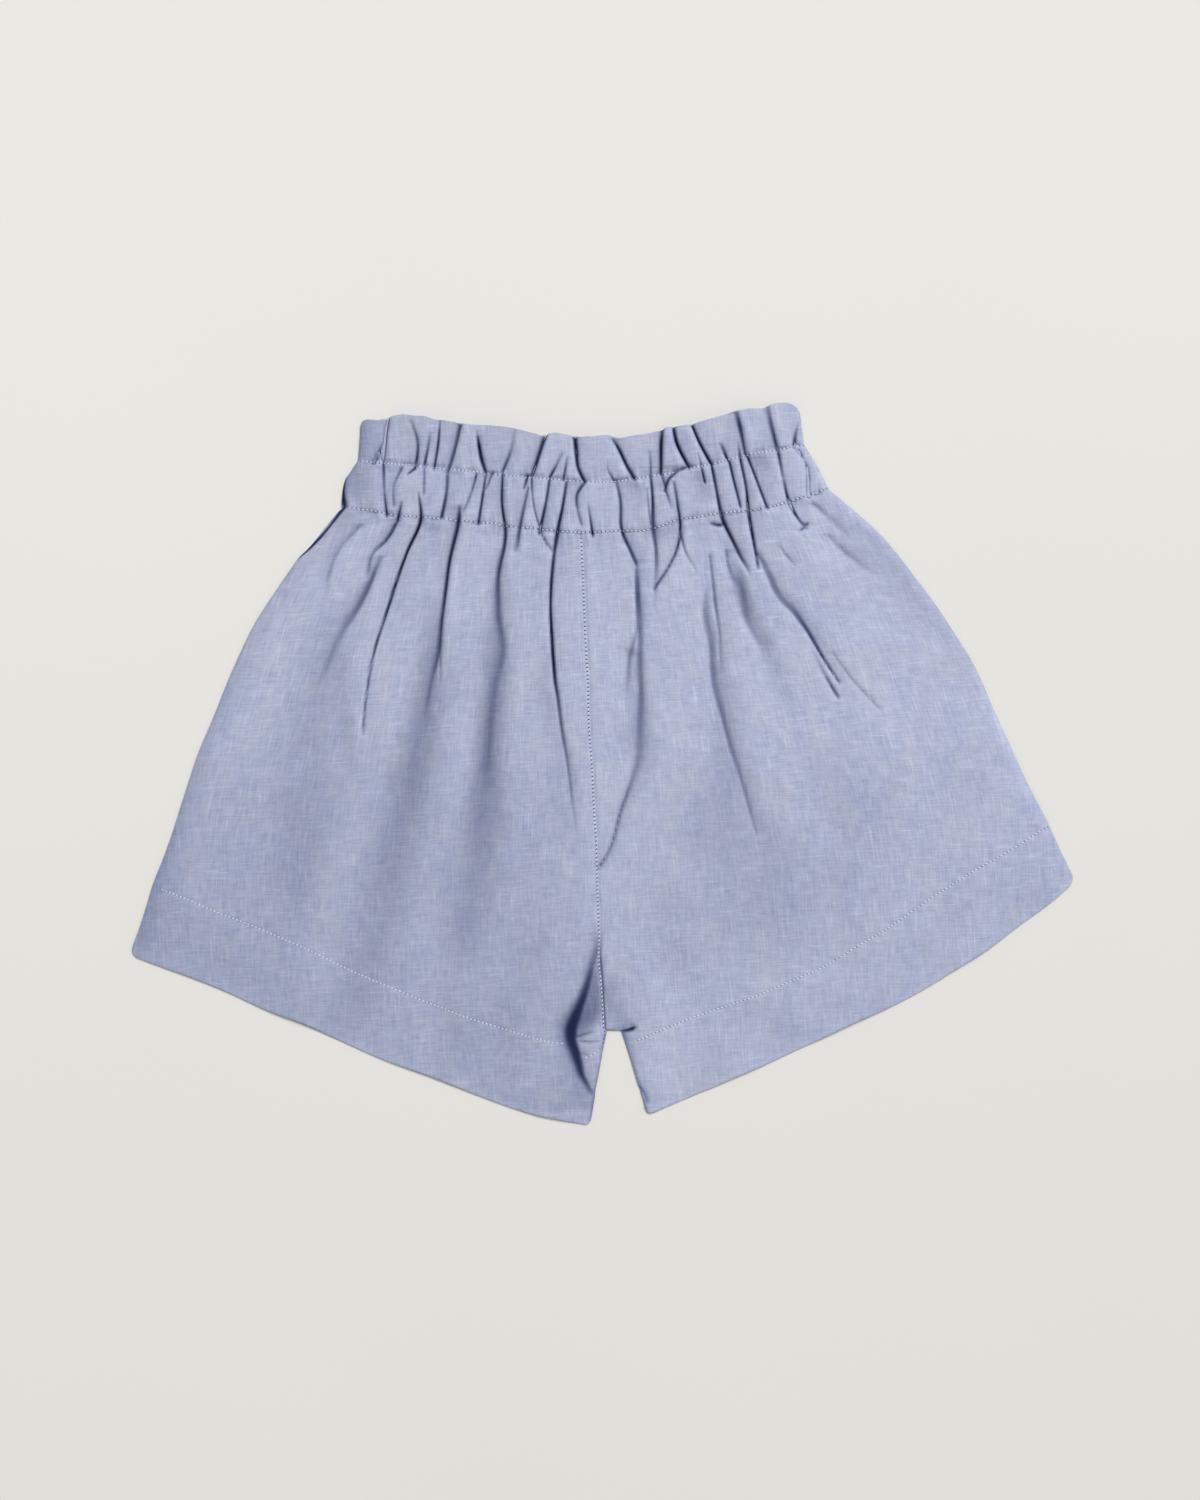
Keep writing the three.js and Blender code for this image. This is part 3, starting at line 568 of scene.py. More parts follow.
def band_plan(low, high, columns, rows, corners=(), puff=0.0, bulge=0.0, stitched=True):
    """A band of the waist, from its low line up to its high one, from the left side to the right."""
    s, v = mesh_grid(columns, rows)
    depth = line_y(high, 0.0) - line_y(low, 0.0)
    s, v = rounded(s, v, low.right - low.left, depth, corners)
    centre = CENTRE_X * (low.right - low.left) / (2 * WAIST_HALF)
    low_x = np.interp(s, (0, 0.5, 1), (low.left, centre, low.right))
    reach = mix(high.left / low.left, high.right / low.right, smooth(-20, 20, low_x))
    high_x = low_x * reach
    side = np.minimum(low_x - low.left, low.right - low_x)
    swell = bulge * np.sin(math.pi * v) * bell(side, 14) * np.where(low_x < 0, -1, 0.25)
    x = mix(low_x, high_x, v) + swell
    y = mix(line_y(low, low_x), line_y(high, high_x), v)
    lift = WAIST_LIFT + puff * np.sin(math.pi * np.clip(v, 0, 1)) ** 0.6
    far = np.full_like(x, FAR)
    run = distance_along(x[0], y[0], 1) + 0 * s
    setback = STITCH["setback"] + wander(low_x)
    near_low, near_high = v * depth - setback, v * depth - (depth - 0.5 * setback)
    off = np.where(np.abs(near_low) < np.abs(near_high), near_low, near_high)
    off = off if stitched else far
    return Plan(x, y, lift, side, far, far, x * (1 + GATHER), run, off, NEEDLE_HOLES["band"])


# ---- drape -----------------------------------------------------------------------------------


def beside(x, y, path, reach):
    """Where points near a path are: a mask of them, their distance to its right, its slope and values."""
    rows = np.array(path[::-1], float)
    ys = rows[:, 1]
    near = (y > ys[0] - FOLD_END) & (y < ys[-1] + FOLD_END)
    near &= (x > rows[:, 0].min() - reach) & (x < rows[:, 0].max() + reach)
    fy = y[near]
    middle = curve(ys, rows[:, 0], fy)
    lean = curve(ys, rows[:, 0], fy - 0.5) - curve(ys, rows[:, 0], fy + 0.5)
    upright = 1 / np.sqrt(1 + lean**2)
    ends = smooth(-FOLD_END, FOLD_END, ys[-1] - fy) * smooth(-FOLD_END, FOLD_END, fy - ys[0])
    values = [np.interp(fy, ys, rows[:, k]) for k in range(2, rows.shape[1])]
    return near, (x[near] - middle) * upright, lean, upright, ends, values


def folded(x, y, folds, depth_scale=1.0):
    """What folds do: how deep they press, pull the cloth in X and Y, and their painted shade and painted
    highlight.
    """
    deep, pull_x, pull_y, dark, painted_highlight = (np.zeros_like(x) for _ in range(5))
    for fold in folds:
        near, away, lean, upright, ends, (strength, width) = beside(x, y, fold.path, 3 * GENTLE_REACH)
        if not near.any():
            continue
        strength = strength * ends
        share = np.clip(strength / max(row[2] for row in fold.path), 0, 1)
        share = np.sqrt(share) * np.minimum(share / 0.3, 1)
        behind = away * fold.steep > 0
        reach = np.where(behind, STEEP_REACH, GENTLE_REACH) if fold.steep else EVEN_REACH
        spread = SLOT_SPREAD * width
        deep[near] += SLOT_DEPTH * strength * bell(away, spread)
        deep[near] += fold.skirt * share * np.exp(-((np.abs(away) / reach) ** 1.4))
        ridge = SHOULDER["height"] * bell(np.abs(away) - SHOULDER["place"], SHOULDER["reach"])
        deep[near] -= np.where(behind, ridge, 0) * np.minimum(strength, 1)
        pull = -PULL * np.minimum(strength, 1) * away * bell(away, 1.3 * spread)
        pull_x[near] += pull * upright
        pull_y[near] += pull * lean * upright
        across = away + pull - 0.25 * fold.steep * width
        breadth = SLOT_SHADE * width
        if fold.steep:
            breadth = breadth * np.where(across * fold.steep > 0, 0.75, 1.15)
        # Painted shade in the slot and on its sides.
        core = 1 - np.exp(-SLOT_DARK * strength * bell(across, breadth))
        reach = np.where(behind, FLANK["steep"], FLANK["gentle"]) if fold.steep else FLANK["even"]
        flank = FLANK["dark"] * np.exp(-((np.abs(away) / reach) ** 1.2))
        flank += FLANK["shade"] * bell(away, 2.4 * reach)
        flank = np.clip(fold.skirt * share * flank, 0, 1)
        dark[near] = np.maximum(dark[near], mix(core, 1, flank))
        # Painted highlight on the round ridge behind the steep side.
        light = bell(np.abs(away) - SHOULDER_LIGHT["place"], SHOULDER_LIGHT["reach"])
        painted_highlight[near] += SHOULDER_LIGHT["amount"] * share * np.where(behind, light, 0)
    return deep * depth_scale, pull_x, pull_y, dark, painted_highlight


def hollowed(x, y):
    """How deep the soft hollows are, and the painted shade that goes with their depth."""
    deep = np.zeros_like(x)
    for hollow in HOLLOWS:
        widest = max(max(row[3:]) for row in hollow)
        near, away, _, _, _, (depth, left, right) = beside(x, y, hollow, 3 * widest)
        deep[near] += depth * bell(away, np.where(away < 0, left, right))
    return deep, 1 - np.exp(-HOLLOW_SHADE * deep)


def lost_light(plan):
    """Painted shade, the share of light taken off the colour: by place, by the waist's lines, less at the
    hems' edges.
    """
    lost = np.zeros_like(plan.x)
    for row in SHADES:
        part = row.amount
        for ramp, place in ((row.x, plan.x), (row.y, plan.y), (row.until, plan.y)):
            part = part * smooth(*ramp, place) if ramp else part
        lost += part * bell(plan.side, row.side) if row.side else part
    top, low = over(TOP_LINE, plan), over(LOW_LINE, plan)
    # Painted shade below the top stitch line and in the hollows of the drawn-up ripples, painted highlight on
    # their crests.
    lost += 0.05 * smooth(-9, -2, top) * smooth(0.3, -0.7, top) - 0.08 * drawn_up(plan)
    # Painted shade just below the lower stitch line, and a painted highlight a little above it.
    lost += 0.05 * bell(low + 2.5, 3) - 0.08 * bell(low - 6, 3.5)
    # Painted highlight along the hems' lower edges.
    return lost - 0.07 * bell(HEM_DEPTH + plan.hem, 2.0)


def rim(distance):
    """Loft near an edge: a round fold first and then a slow rise."""
    turn = np.sqrt(1 - (1 - np.clip(distance / SIDE_ROUND, 0, 1)) ** 2)
    return ROUND_SHARE * turn + (1 - ROUND_SHARE) * smooth(0, SIDE_RISE, distance)


def drawn_up(plan):
    """Ripples by the waist's two stitch lines, of two sizes."""
    low = np.abs(over(LOW_LINE, plan))
    top = np.abs(over(TOP_LINE, plan))
    both = ripple(plan.x, plan.y * 0.15, 6.5, 11) + 0.7 * ripple(plan.x, plan.y * 0.3, 3.6, 13)
    return both * (np.exp(-low / 4) + np.exp(-top / 4))


def puckers(plan):
    """Small uneven ripples that the stitches draw up, and the grooves that they lie in."""
    low = over(LOW_LINE, plan)
    top = over(TOP_LINE, plan)
    z = 0.38 * drawn_up(plan)
    z += 0.3 * ripple(plan.x, plan.y * 0.1, 11, 14) * smooth(4, -2, low) * np.exp(np.minimum(low, 0) / 30)
    z -= 0.3 * bell(low, 1.6) + 0.4 * bell(top, 1.3)
    z += 0.14 * ripple(plan.x, plan.y, 8, 12) * np.exp(-np.abs(plan.hem) / 7)
    z -= 0.14 * bell(plan.off, 0.7)
    edge_turn = 1 - np.clip((HEM_DEPTH + plan.hem) / 1.3, 0, 1)
    z -= 0.4 * (1 - np.sqrt(np.clip(1 - edge_turn**2, 0, 1)))
    above_crotch = smooth(CROTCH_Y - 2, CROTCH_Y + 4, plan.y) * smooth(0, 4, -low)
    z -= 0.5 * bell(plan.inner, 0.8) * above_crotch
    return z


def seam_shade(plan):
    """Painted shade in fine lines: the centre seam's lower part and the inner seams."""
    below = smooth(CROTCH_Y + 2, CROTCH_Y - 4, plan.y)
    centre = 0.75 * bell(plan.inner, 0.55) * smooth(-96, -112, plan.y) * (1 - below)
    return np.maximum(centre, 0.5 * bell(plan.inner, 1.2) * below)


def drape_front(plan):
    """Places of the front's upper face, and its painted shade from folds, seams, hollows and place."""
    below_crotch = smooth(CROTCH_Y + CROTCH_RUN, CROTCH_Y, plan.y)
    loft = plan.lift * rim(plan.side) * mix(1, rim(plan.inner), below_crotch)
    deep, pull_x, pull_y, dark, painted_highlight = folded(plan.x, plan.y, FRONT_FOLDS)
    crossing = [fold._replace(path=[(y, x, s, w) for x, y, s, w in fold.path]) for fold in CROSS_FOLDS]
    deep_too, pull_y_too, pull_x_too, dark_too, _ = folded(plan.y, plan.x, crossing)
    deep, pull_x, pull_y = deep + deep_too, pull_x + pull_x_too, pull_y + pull_y_too
    dark = np.maximum(np.maximum(dark, dark_too), seam_shade(plan))
    hollow, shade = hollowed(plan.x, plan.y)
    deep += hollow
    # Painted shade from the hollows and by place, less the painted highlight on the folds' shoulders.
    dark = mix(mix(dark, 1, shade), 1, lost_light(plan) - painted_highlight)
    soft = 0.4 * ripple(plan.x, plan.y * 0.6, 65, 3) + 0.12 * ripple(plan.x, plan.y * 0.7, 24, 5)
    z = loft - deep + (soft + puckers(plan)) * smooth(0, 5, plan.side)
    z = FRONT_BASE + 0.5 * (z + np.sqrt(z**2 + SOFT_FLOOR))
    x = plan.x + pull_x + 0.4 * ripple(plan.x, plan.y, 60, 7)
    y = plan.y + pull_y + 0.4 * ripple(plan.x, plan.y, 55, 8)
    y -= (0.5 * dark + 0.12 * deep) * smooth(6, 0, line_y(FRILL_EDGE, plan.x) - plan.y)
    return np.stack([x, y, z], -1), dark


def turned_over(fold):
    """A fold for the back: one of the front's in another place and a little gentler."""
    share = BACK_FOLDS["place"]
    return fold._replace(steep=-fold.steep, path=[(-share * x, y, s, w) for x, y, s, w in fold.path])


def back_gathers(plan):
    """How far the back's cloth rises from the surface in the narrow gathers at its waist."""
    low = over(LOW_LINE, plan)
    place = plan.x + 2.2 * ripple(plan.x, plan.y * 0.25, 26, 17)
    wave = 0.5 - 0.5 * np.cos(2 * math.pi * place / BACK_GATHER["width"])
    uneven = np.clip(0.88 + 0.24 * ripple(plan.x, plan.y * 0.2, 14, 18), 0.4, 1.2)
    return BACK_GATHER["height"] * wave * uneven * smooth(-32, -4, low) * smooth(0, 5, plan.side)


def drape_back(plan):
    """Places of the back's lower face, which lies on the surface apart from its gathers, and its folds'
    painted shade.
    """
    folds = [turned_over(f) for f in FRONT_FOLDS if f.path[-1][1] > CROTCH_Y]
    deep, pull_x, pull_y, dark, _ = folded(plan.x, plan.y, folds, BACK_FOLDS["depth"])
    risen = np.clip(deep, 0, BACK_FOLDS["deepest"]) * smooth(0, 10, plan.side)
    risen = np.maximum(risen, back_gathers(plan))
    z = SURFACE_GAP + risen + 0.26 * bell(plan.off, 0.8)
    below_crotch = smooth(CROTCH_Y + 4, CROTCH_Y - 2, plan.y)
    x = plan.x + pull_x * smooth(0, 4, plan.inner)
    x -= np.sign(plan.x) * BACK_INSET * (1 - smooth(0, 12, plan.side))
    x += np.sign(plan.x.mean()) * BACK_INSET * (1 - smooth(0, 12, plan.inner)) * below_crotch
    return np.stack([x, plan.y + pull_y, z], -1), dark


# ---- meshes ----------------------------------------------------------------------------------


def face_normals(grid):
    down, across = np.gradient(grid, axis=0), np.gradient(grid, axis=1)
    normal = np.cross(across, down)
    normal /= np.maximum(np.linalg.norm(normal, axis=-1, keepdims=True), 1e-9)
    return normal * np.sign(normal[..., 2:].mean())


def add_mesh(name, vertices, faces, material):
    """A mesh from vertices in millimetres and arrays of faces, each with one number of corners."""
    mesh = bpy.data.meshes.new(name)
    mesh.vertices.add(len(vertices))
    mesh.vertices.foreach_set("co", (np.asarray(vertices) * MM).astype(np.float32).ravel())
    loops = np.concatenate([f.ravel() for f in faces]).astype(np.int32)
    sizes = np.concatenate([np.full(len(f), f.shape[1]) for f in faces])
    mesh.loops.add(len(loops))
    mesh.loops.foreach_set("vertex_index", loops)
    mesh.polygons.add(len(sizes))
    starts = np.concatenate([[0], np.cumsum(sizes)[:-1]]).astype(np.int32)
    mesh.polygons.foreach_set("loop_start", starts)
    mesh.polygons.foreach_set("use_smooth", np.ones(len(sizes), bool))
    mesh.update(calc_edges=True)
    mesh.materials.append(material)
    piece = bpy.data.objects.new(name, mesh)
    bpy.context.scene.collection.objects.link(piece)
    return piece


def set_attribute(piece, name, kind, values):
    field = "vector" if kind == "FLOAT_VECTOR" else "value"
    layer = piece.data.attributes.new(name, kind, "POINT")
    layer.data.foreach_set(field, np.asarray(values, np.float32).ravel())


def sharpen(piece, corners):
    """Keeps the shading of a face apart from that of its rim, along edges between these corners."""
    mesh = piece.data
    ends = np.empty(2 * len(mesh.edges), np.int32)
    mesh.edges.foreach_get("vertices", ends)
    on_rim = np.zeros(len(mesh.vertices), bool)
    on_rim[corners] = True
    sharp = on_rim[ends].reshape(-1, 2).all(1)
    mesh.attributes.new("sharp_edge", "BOOLEAN", "EDGE").data.foreach_set("value", sharp)


def boundary(rows, columns):
    """Row and column of each point round a grid's edge, in order."""
    r, c = np.arange(rows), np.arange(columns)
    row = np.concatenate([0 * c, r, np.full(columns, rows), rows - r])
    column = np.concatenate([c, np.full(rows, columns), columns - c, 0 * r])
    return row, column


def quads(rows, columns, offset=0):
    index = np.arange((rows + 1) * (columns + 1)).reshape(rows + 1, columns + 1) + offset
    ring = [index[:-1, :-1], index[:-1, 1:], index[1:, 1:], index[1:, :-1]]
    return np.stack([part.ravel() for part in ring], 1)


def shell(name, plan, drape, thickness, material, outward=1):
    """A closed shell: a fine face, and a hidden face at half its pitch, that far behind it."""
    face, dark = drape(plan)
    rows, columns = face.shape[0] - 1, face.shape[1] - 1
    normal = face_normals(face) * outward
    behind = (face - normal * thickness)[::2, ::2]
    behind[..., 2] = np.maximum(behind[..., 2], SURFACE_GAP)
    fine_count = face.shape[0] * face.shape[1]
    fine = quads(rows, columns)
    coarse = quads(rows // 2, columns // 2, fine_count)[:, ::-1]
    row, column = boundary(rows, columns)
    ring = row * (columns + 1) + column
    row, column = boundary(rows // 2, columns // 2)
    back_ring = fine_count + row * (columns // 2 + 1) + column
    a, b, c = ring[0::2], ring[1::2], np.roll(ring, -2)[0::2]
    d, e = back_ring, np.roll(back_ring, -1)
    edge = np.concatenate([np.stack(t, 1) for t in ((b, a, d), (e, b, d), (c, b, e))])
    turned = np.cross(face[0, 1] - face[0, 0], face[1, 0] - face[0, 0])[2] * outward < 0
    faces = [fine, coarse, edge]
    if turned:
        faces = [f[:, ::-1] for f in faces]
    vertices = np.concatenate([face.reshape(-1, 3), behind.reshape(-1, 3)])
    piece = add_mesh(name, vertices, faces, material)
    sharpen(piece, np.concatenate([ring, back_ring]))
    flat = np.stack([plan.weft, plan.y, 0 * plan.x], -1) * MM
    row_of_stitches = np.stack([plan.run * MM, plan.off * MM, plan.pits + 0 * plan.x], -1)
    both = lambda values, size: np.concatenate([values.reshape(size), values[::2, ::2].reshape(size)])
    set_attribute(piece, "flat", "FLOAT_VECTOR", both(flat, (-1, 3)))
    set_attribute(piece, "stitch_row", "FLOAT_VECTOR", both(row_of_stitches, (-1, 3)))
    # painted shade: how far the cloth's colour is darkened towards navy, in folds, hollows, seams and by
    # place
    set_attribute(piece, "painted_shade", "FLOAT", both(dark, -1))
    return piece, face, normal, dark


# ---- materials -------------------------------------------------------------------------------


class Nodes:
    """A material's node tree, with one call for each node."""

    def __init__(self, name):
        self.material = bpy.data.materials.new(name)
        self.material.use_nodes = True
        self.tree = self.material.node_tree
        self.tree.nodes.clear()

    def add(self, kind, inputs=None, **settings):
        node = self.tree.nodes.new("ShaderNode" + kind)
        for key, value in settings.items():
            setattr(node, key, value)
        for key, value in (inputs or {}).items():
            if isinstance(value, bpy.types.NodeSocket):
                self.tree.links.new(value, node.inputs[key])
            else:
                node.inputs[key].default_value = value
        return node

    def math(self, operation, a, b=0.0):
        return self.add("Math", {0: a, 1: b}, operation=operation).outputs[0]

    def plus(self, a, b):
        return self.math("ADD", a, b)

    def times(self, a, b):
        return self.math("MULTIPLY", a, b)

    def colours(self, factor, a, b):
        inputs = {0: factor, 6: a, 7: b}
        return self.add("Mix", inputs, data_type="RGBA", blend_type="MIX").outputs[2]

    def stretched_noise(self, place, scale, detail=2.0, roughness=0.5):
        """Noise over the cloth's weft and warp, with that many patches to the metre each way."""
        where = self.add("VectorMath", {0: place, 1: (*scale, 1.0)}, operation="MULTIPLY").outputs[0]
        inputs = {"Vector": where, "Scale": 1.0, "Detail": detail, "Roughness": roughness}
        return self.add("TexNoise", inputs).outputs[0]

    def ease(self, value, low, high):
        """0 up to low and 1 from high on, smoothly between."""
        inputs = {"Value": value, "From Min": low, "From Max": high}
        return self.add("MapRange", inputs, interpolation_type="SMOOTHSTEP").outputs[0]

    def surfaced(self, inputs):
        """The material, with a plain shader that has these inputs."""
        shader = self.add("BsdfPrincipled", inputs)
        self.add("OutputMaterial", {"Surface": shader.outputs[0]})
        return self.material


WEAVE_SCALE = 700.0  # of the waves that stand for single threads


def chambray():
    """Blue warp and white weft: fine threads, slubs both ways, a soft mottle, and painted shade that darkens
    it towards navy in folds, hollows and needle holes.
    """
    n = Nodes("chambray")
    place = n.add("Attribute", attribute_name="flat").outputs["Vector"]
    painted_shade = n.add("Attribute", attribute_name="painted_shade").outputs["Fac"]
    warp = n.stretched_noise(place, (1100, 75), 3.0, 0.6)
    weft = n.stretched_noise(place, (80, 1200), 3.0, 0.6)
    slub_up = n.ease(n.stretched_noise(place, (520, 48)), 0.56, 0.72)
    slub_across = n.ease(n.stretched_noise(place, (52, 620)), 0.56, 0.72)
    mottle = n.stretched_noise(place, (170, 130), 3.0, 0.65)
    broad = n.stretched_noise(place, (30, 14), 2.0)
    tint = n.stretched_noise(place, (60, 34), 2.0)
    pale = n.plus(n.times(warp, 0.7), n.times(weft, 0.7))
    pale = n.plus(pale, n.times(mottle, 0.5))
    pale = n.plus(pale, n.times(broad, 0.4))
    pale = n.plus(pale, n.times(n.plus(slub_up, slub_across), 0.16))
    pale = n.math("SUBTRACT", pale, 0.68)
    cool = n.colours(pale, (0.262, 0.306, 0.510, 1), (0.650, 0.692, 0.835, 1))
    warm = n.colours(pale, (0.282, 0.314, 0.494, 1), (0.652, 0.684, 0.808, 1))
    cloth = n.colours(n.ease(tint, 0.4, 0.6), cool, warm)
    row = n.add("SeparateXYZ", {0: n.add("Attribute", attribute_name="stitch_row").outputs["Vector"]}).outputs
    # Painted shade in the needle holes along each row of stitches.
    beat = n.math("COSINE", n.times(row["X"], 2 * math.pi / (STITCH["pitch"] * MM)))
    near = n.ease(n.math("ABSOLUTE", row["Y"]), 0.0008, 0.0003)
    holes = n.times(n.times(n.ease(beat, 0.35, 0.9), near), row["Z"])
    # Painted shade: the colour goes towards a painted shadow navy, and a darker navy where the shade is
    # deepest.
    shade = n.math("MAXIMUM", n.times(painted_shade, 0.97), holes)
    shadow = n.colours(n.ease(shade, 0.7, 1.0), (0.001, 0.016, 0.105, 1), (0.003, 0.010, 0.050, 1))
    colour = n.colours(shade, cloth, shadow)
    waves = {"Vector": place, "Scale": WEAVE_SCALE}
    weave = n.times(*(n.add("TexWave", waves, bands_direction=way).outputs["Fac"] for way in "XY"))
    height = n.plus(n.times(n.plus(warp, weft), 0.7), n.times(weave, 0.4))
    height = n.plus(height, n.times(mottle, 0.9))
    bump = n.add("Bump", {"Strength": 0.4, "Distance": 0.0003, "Height": height}).outputs[0]
    roughness = n.plus(0.78, n.times(mottle, 0.16))
    # Less gloss where the painted shade is.
    gloss = n.times(n.math("SUBTRACT", 1.0, painted_shade), 0.25)
    return n.surfaced(
        {"Base Color": colour, "Roughness": roughness, "Normal": bump, "Specular IOR Level": gloss}
    )


def sewing_thread():
    """Pale two-ply thread with a slight twist."""
    n = Nodes("sewing_thread")
    place = n.add("TexCoord").outputs["Object"]
    twist = n.stretched_noise(place, (2600, 2600), 1.0)
    colour = n.colours(twist, (0.62, 0.66, 0.78, 1), (0.88, 0.90, 0.96, 1))
    bump = n.add("Bump", {"Strength": 0.3, "Distance": 0.0001, "Height": twist}).outputs[0]
    roughness = n.plus(0.55, n.times(twist, 0.2))
    return n.surfaced({"Base Color": colour, "Roughness": roughness, "Normal": bump})


def pale_ground():
    """Off-white board with painted shade, a little greyer towards the bottom."""
    n = Nodes("pale_ground")
    place = n.add("TexCoord").outputs["Object"]
    cloudy = n.stretched_noise(place, (3.0, 3.0), 2.0)
    up = n.add("SeparateXYZ", {0: place}).outputs["Y"]
    # Painted shade: lighter towards the top and greyer towards the bottom, with a cloudy tone over it.
    light = n.plus(n.ease(up, -0.55, 0.5), n.times(n.math("SUBTRACT", cloudy, 0.5), 0.3))
    colour = n.colours(light, (0.745, 0.730, 0.690, 1), (0.820, 0.812, 0.780, 1))
    return n.surfaced({"Base Color": colour, "Roughness": 0.9, "Specular IOR Level": 0.2})


CHAMBRAY = chambray()
THREAD = sewing_thread()

# ---- pieces of cloth -------------------------------------------------------------------------
PANEL_GRID = (300, 260)
HEM_GRID = (300, 44)
BAND_GRID = (600, 60)
BACK_PANEL_GRID = (130, 110)
BACK_HEM_GRID = (130, 20)
BACK_BAND_GRID = (460, 26)

made = {}


def add_piece(node, plan, thickness):
    back = "_back" in node or node.startswith("back")
    drape, outward = (drape_back, -1) if back else (drape_front, 1)
    piece, face, normal, dark = shell("cloth_" + node, plan, drape, thickness, CHAMBRAY, outward)
    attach(piece, "root")
    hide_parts(node)
    # dark: the piece's painted shade, also used to leave out stitches lost in folds.
    made[node] = dict(piece=piece, plan=plan, face=face, normal=normal, dark=dark[..., None])


for name in LEGS:
    add_piece(f"front_{name}", panel_plan(name, *PANEL_GRID), CLOTH)
    add_piece(f"hem_front_{name}", hem_plan(name, *HEM_GRID), FOLDED_CLOTH)
    add_piece(f"back_{name}", panel_plan(name, *BACK_PANEL_GRID), CLOTH)
    add_piece(f"hem_back_{name}", hem_plan(name, *BACK_HEM_GRID), FOLDED_CLOTH)

for side, grid in (("front", BAND_GRID), ("back", BACK_BAND_GRID)):
    casing = band_plan(LOW_LINE, TOP_LINE, *grid, puff=CASING_PUFF, bulge=2.5)
    add_piece(f"casing_{side}", casing, FOLDED_CLOTH)
    frill = band_plan(TOP_LINE, FRILL_EDGE, *grid, FRILL_CORNERS, FRILL_PUFF, stitched=False)
    add_piece(f"frill_{side}", frill, FOLDED_CLOTH)

# ---- stitches --------------------------------------------------------------------------------
STITCH_SIDES = 6
HIDDEN_STITCH = 0.6  # how much painted shade a fold has where stitches are lost in it
END_STEPS = 2  # grid steps left free at both ends of a row
STITCH_RINGS = ((-0.5, 0.45), (-0.3, 0.95), (0.0, 1.0), (0.3, 0.95), (0.5, 0.45))


def on_face(grid, row, column):
    """Values of a grid at places which may lie between its points."""
    r = np.clip(np.floor(row).astype(int), 0, grid.shape[0] - 2)
    c = np.clip(np.floor(column).astype(int), 0, grid.shape[1] - 2)
    dr, dc = (row - r)[:, None], (column - c)[:, None]
    return mix(mix(grid[r, c], grid[r, c + 1], dc), mix(grid[r + 1, c], grid[r + 1, c + 1], dc), dr)


def unit(vectors):
    return vectors / np.maximum(np.linalg.norm(vectors, axis=1, keepdims=True), 1e-9)


def add_stitches(name, node, rows, columns, seed):
    """A row of lockstitch over grid places of a piece: one of rows and columns is a single number."""
    work = made[node]
    rows, columns = np.broadcast_arrays(np.asarray(rows, float), np.asarray(columns, float))
    run = on_face(work["plan"].run[..., None], rows, columns)[:, 0]
    pitch, half = STITCH["pitch"], STITCH["length"] / 2
    count = int((run[-1] - run[0]) / pitch) - 1
    centres = (np.arange(count) + math.ceil(run[0] / pitch) + 0.5) * pitch

    def at(grid, where):
        return on_face(grid, np.interp(where, run, rows), np.interp(where, run, columns))

    centres = centres[at(work["dark"], centres)[:, 0] < HIDDEN_STITCH]
    count = len(centres)
    middle = at(work["face"], centres)
    ahead = unit(at(work["face"], centres + half) - at(work["face"], centres - half))
    up = at(work["normal"], centres)
    up = unit(up - (up * ahead).sum(1, keepdims=True) * ahead)
    across = np.cross(ahead, up)
    chance = np.random.default_rng(seed)
    ahead = ahead + across * (STITCH["slant"] + chance.uniform(-0.2, 0.2, (count, 1)))
    angles = np.arange(STITCH_SIDES) * 2 * math.pi / STITCH_SIDES
    rings = []
    for shift, size in STITCH_RINGS:
        for angle in angles:
            height = math.sin(angle) * size * STITCH["height"] / 2 + 0.12 - 0.3 * shift**2
            width = math.cos(angle) * size * STITCH["width"] / 2
            rings.append(middle + ahead * shift * STITCH["length"] + across * width + up * height)
    vertices = np.stack(rings, 1)
    points = vertices.shape[1]
    sides = []
    for ring in range(len(STITCH_RINGS) - 1):
        for k in range(STITCH_SIDES):
            a, b = ring * STITCH_SIDES + k, ring * STITCH_SIDES + (k + 1) % STITCH_SIDES
            sides.append((a, b, b + STITCH_SIDES, a + STITCH_SIDES))
    ends = [list(range(STITCH_SIDES))[::-1], list(range(points - STITCH_SIDES, points))]
    shifts = (np.arange(count) * points)[:, None, None]
    faces = [(np.array(part) + shifts).reshape(-1, len(part[0])) for part in (sides, ends)]
    piece = add_mesh(name, vertices.reshape(-1, 3), faces, THREAD)
    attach(piece, "root")


def grid_steps(node):
    """How many steps a piece's grid has from top to bottom, and across."""
    rows, columns = made[node]["face"].shape[:2]
    return rows - 1, columns - 1


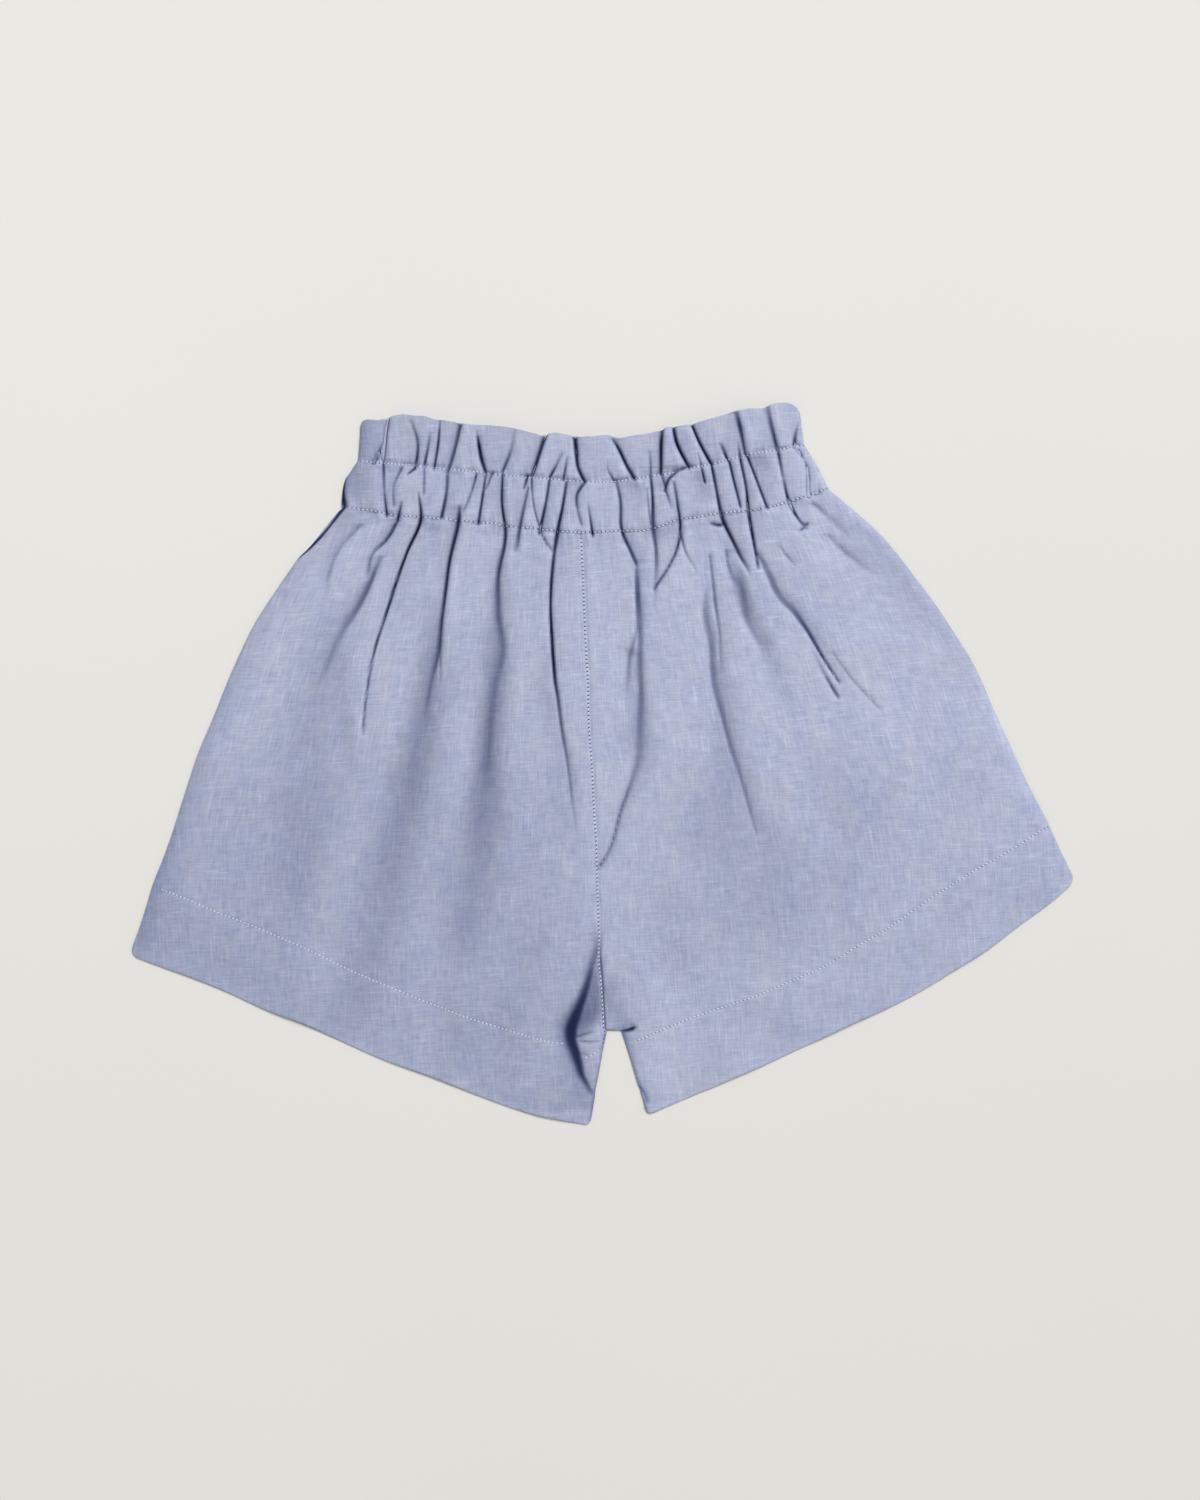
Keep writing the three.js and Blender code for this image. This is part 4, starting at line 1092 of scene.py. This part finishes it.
for side in ("front", "back"):
    node = f"casing_{side}"
    rows, columns = grid_steps(node)
    across = np.arange(END_STEPS, columns - END_STEPS)
    depth = line_y(TOP_LINE, 0.0) - line_y(LOW_LINE, 0.0)
    one_millimetre = rows / depth
    strays = wander(made[node]["plan"].x[0, across])
    low_row = (STITCH["setback"] + strays) * one_millimetre
    add_stitches(f"stitches_casing_low_{side}", node, low_row, across, 21)
    add_stitches(f"stitches_casing_top_{side}", node, rows - 0.5 * low_row, across, 22)
    for name in LEGS:
        node = f"hem_{side}_{name}"
        rows, columns = grid_steps(node)
        across = np.arange(END_STEPS, columns - END_STEPS)
        add_stitches(f"stitches_{node}", node, STITCH["setback"] * rows / HEM_DEPTH, across, 23)
    node = f"{side}_left"
    rows, columns = grid_steps(node)
    down = np.arange(1.0, rows * INNER_STOPS[1])
    widths = np.abs(made[node]["plan"].x[:, -1] - made[node]["plan"].x[:, 0])[down.astype(int)]
    add_stitches(f"stitches_centre_{side}", node, down, STITCH["setback"] / widths * columns, 24)

# ---- floor, light and camera -----------------------------------------------------------------
scene = bpy.context.scene
scene.view_settings.view_transform = "Standard"

bpy.ops.mesh.primitive_plane_add(size=40.0, location=(0, 0, CAD_LOW.z))
floor = bpy.context.object
floor.name = "floor"
floor.data.materials.append(pale_ground())

world = bpy.data.worlds.new("soft_room")
world.use_nodes = True
world.node_tree.nodes["Background"].inputs[0].default_value = (0.97, 0.985, 1.0, 1)
world.node_tree.nodes["Background"].inputs[1].default_value = 0.42
scene.world = world

SUN_FROM = (0.42, 0.74, 1.0)
sun = bpy.data.lights.new("window", "SUN")
sun.energy = 2.45
sun.angle = math.radians(32)
sun.color = (1.0, 0.99, 0.97)
lamp = bpy.data.objects.new("window", sun)
lamp.rotation_euler = Vector(SUN_FROM).to_track_quat("Z", "Y").to_euler()
scene.collection.objects.link(lamp)

# The camera looks straight down, a little turned, with the shorts just below the middle.
LENS, LONG_SIDE = 85.0, 36.0
VIEW_LENGTH = 0.855  # of the surface along the image's long side
CAMERA_AIM = (0.0024, 0.0075)
CAMERA_TURN = math.radians(-2.6)
camera_data = bpy.data.cameras.new("camera")
camera_data.lens = LENS
camera_data.sensor_width = LONG_SIDE
camera = bpy.data.objects.new("camera", camera_data)
camera.location = (*CAMERA_AIM, VIEW_LENGTH * LENS / LONG_SIDE)
camera.rotation_euler = (0, 0, CAMERA_TURN)
scene.collection.objects.link(camera)
scene.camera = camera
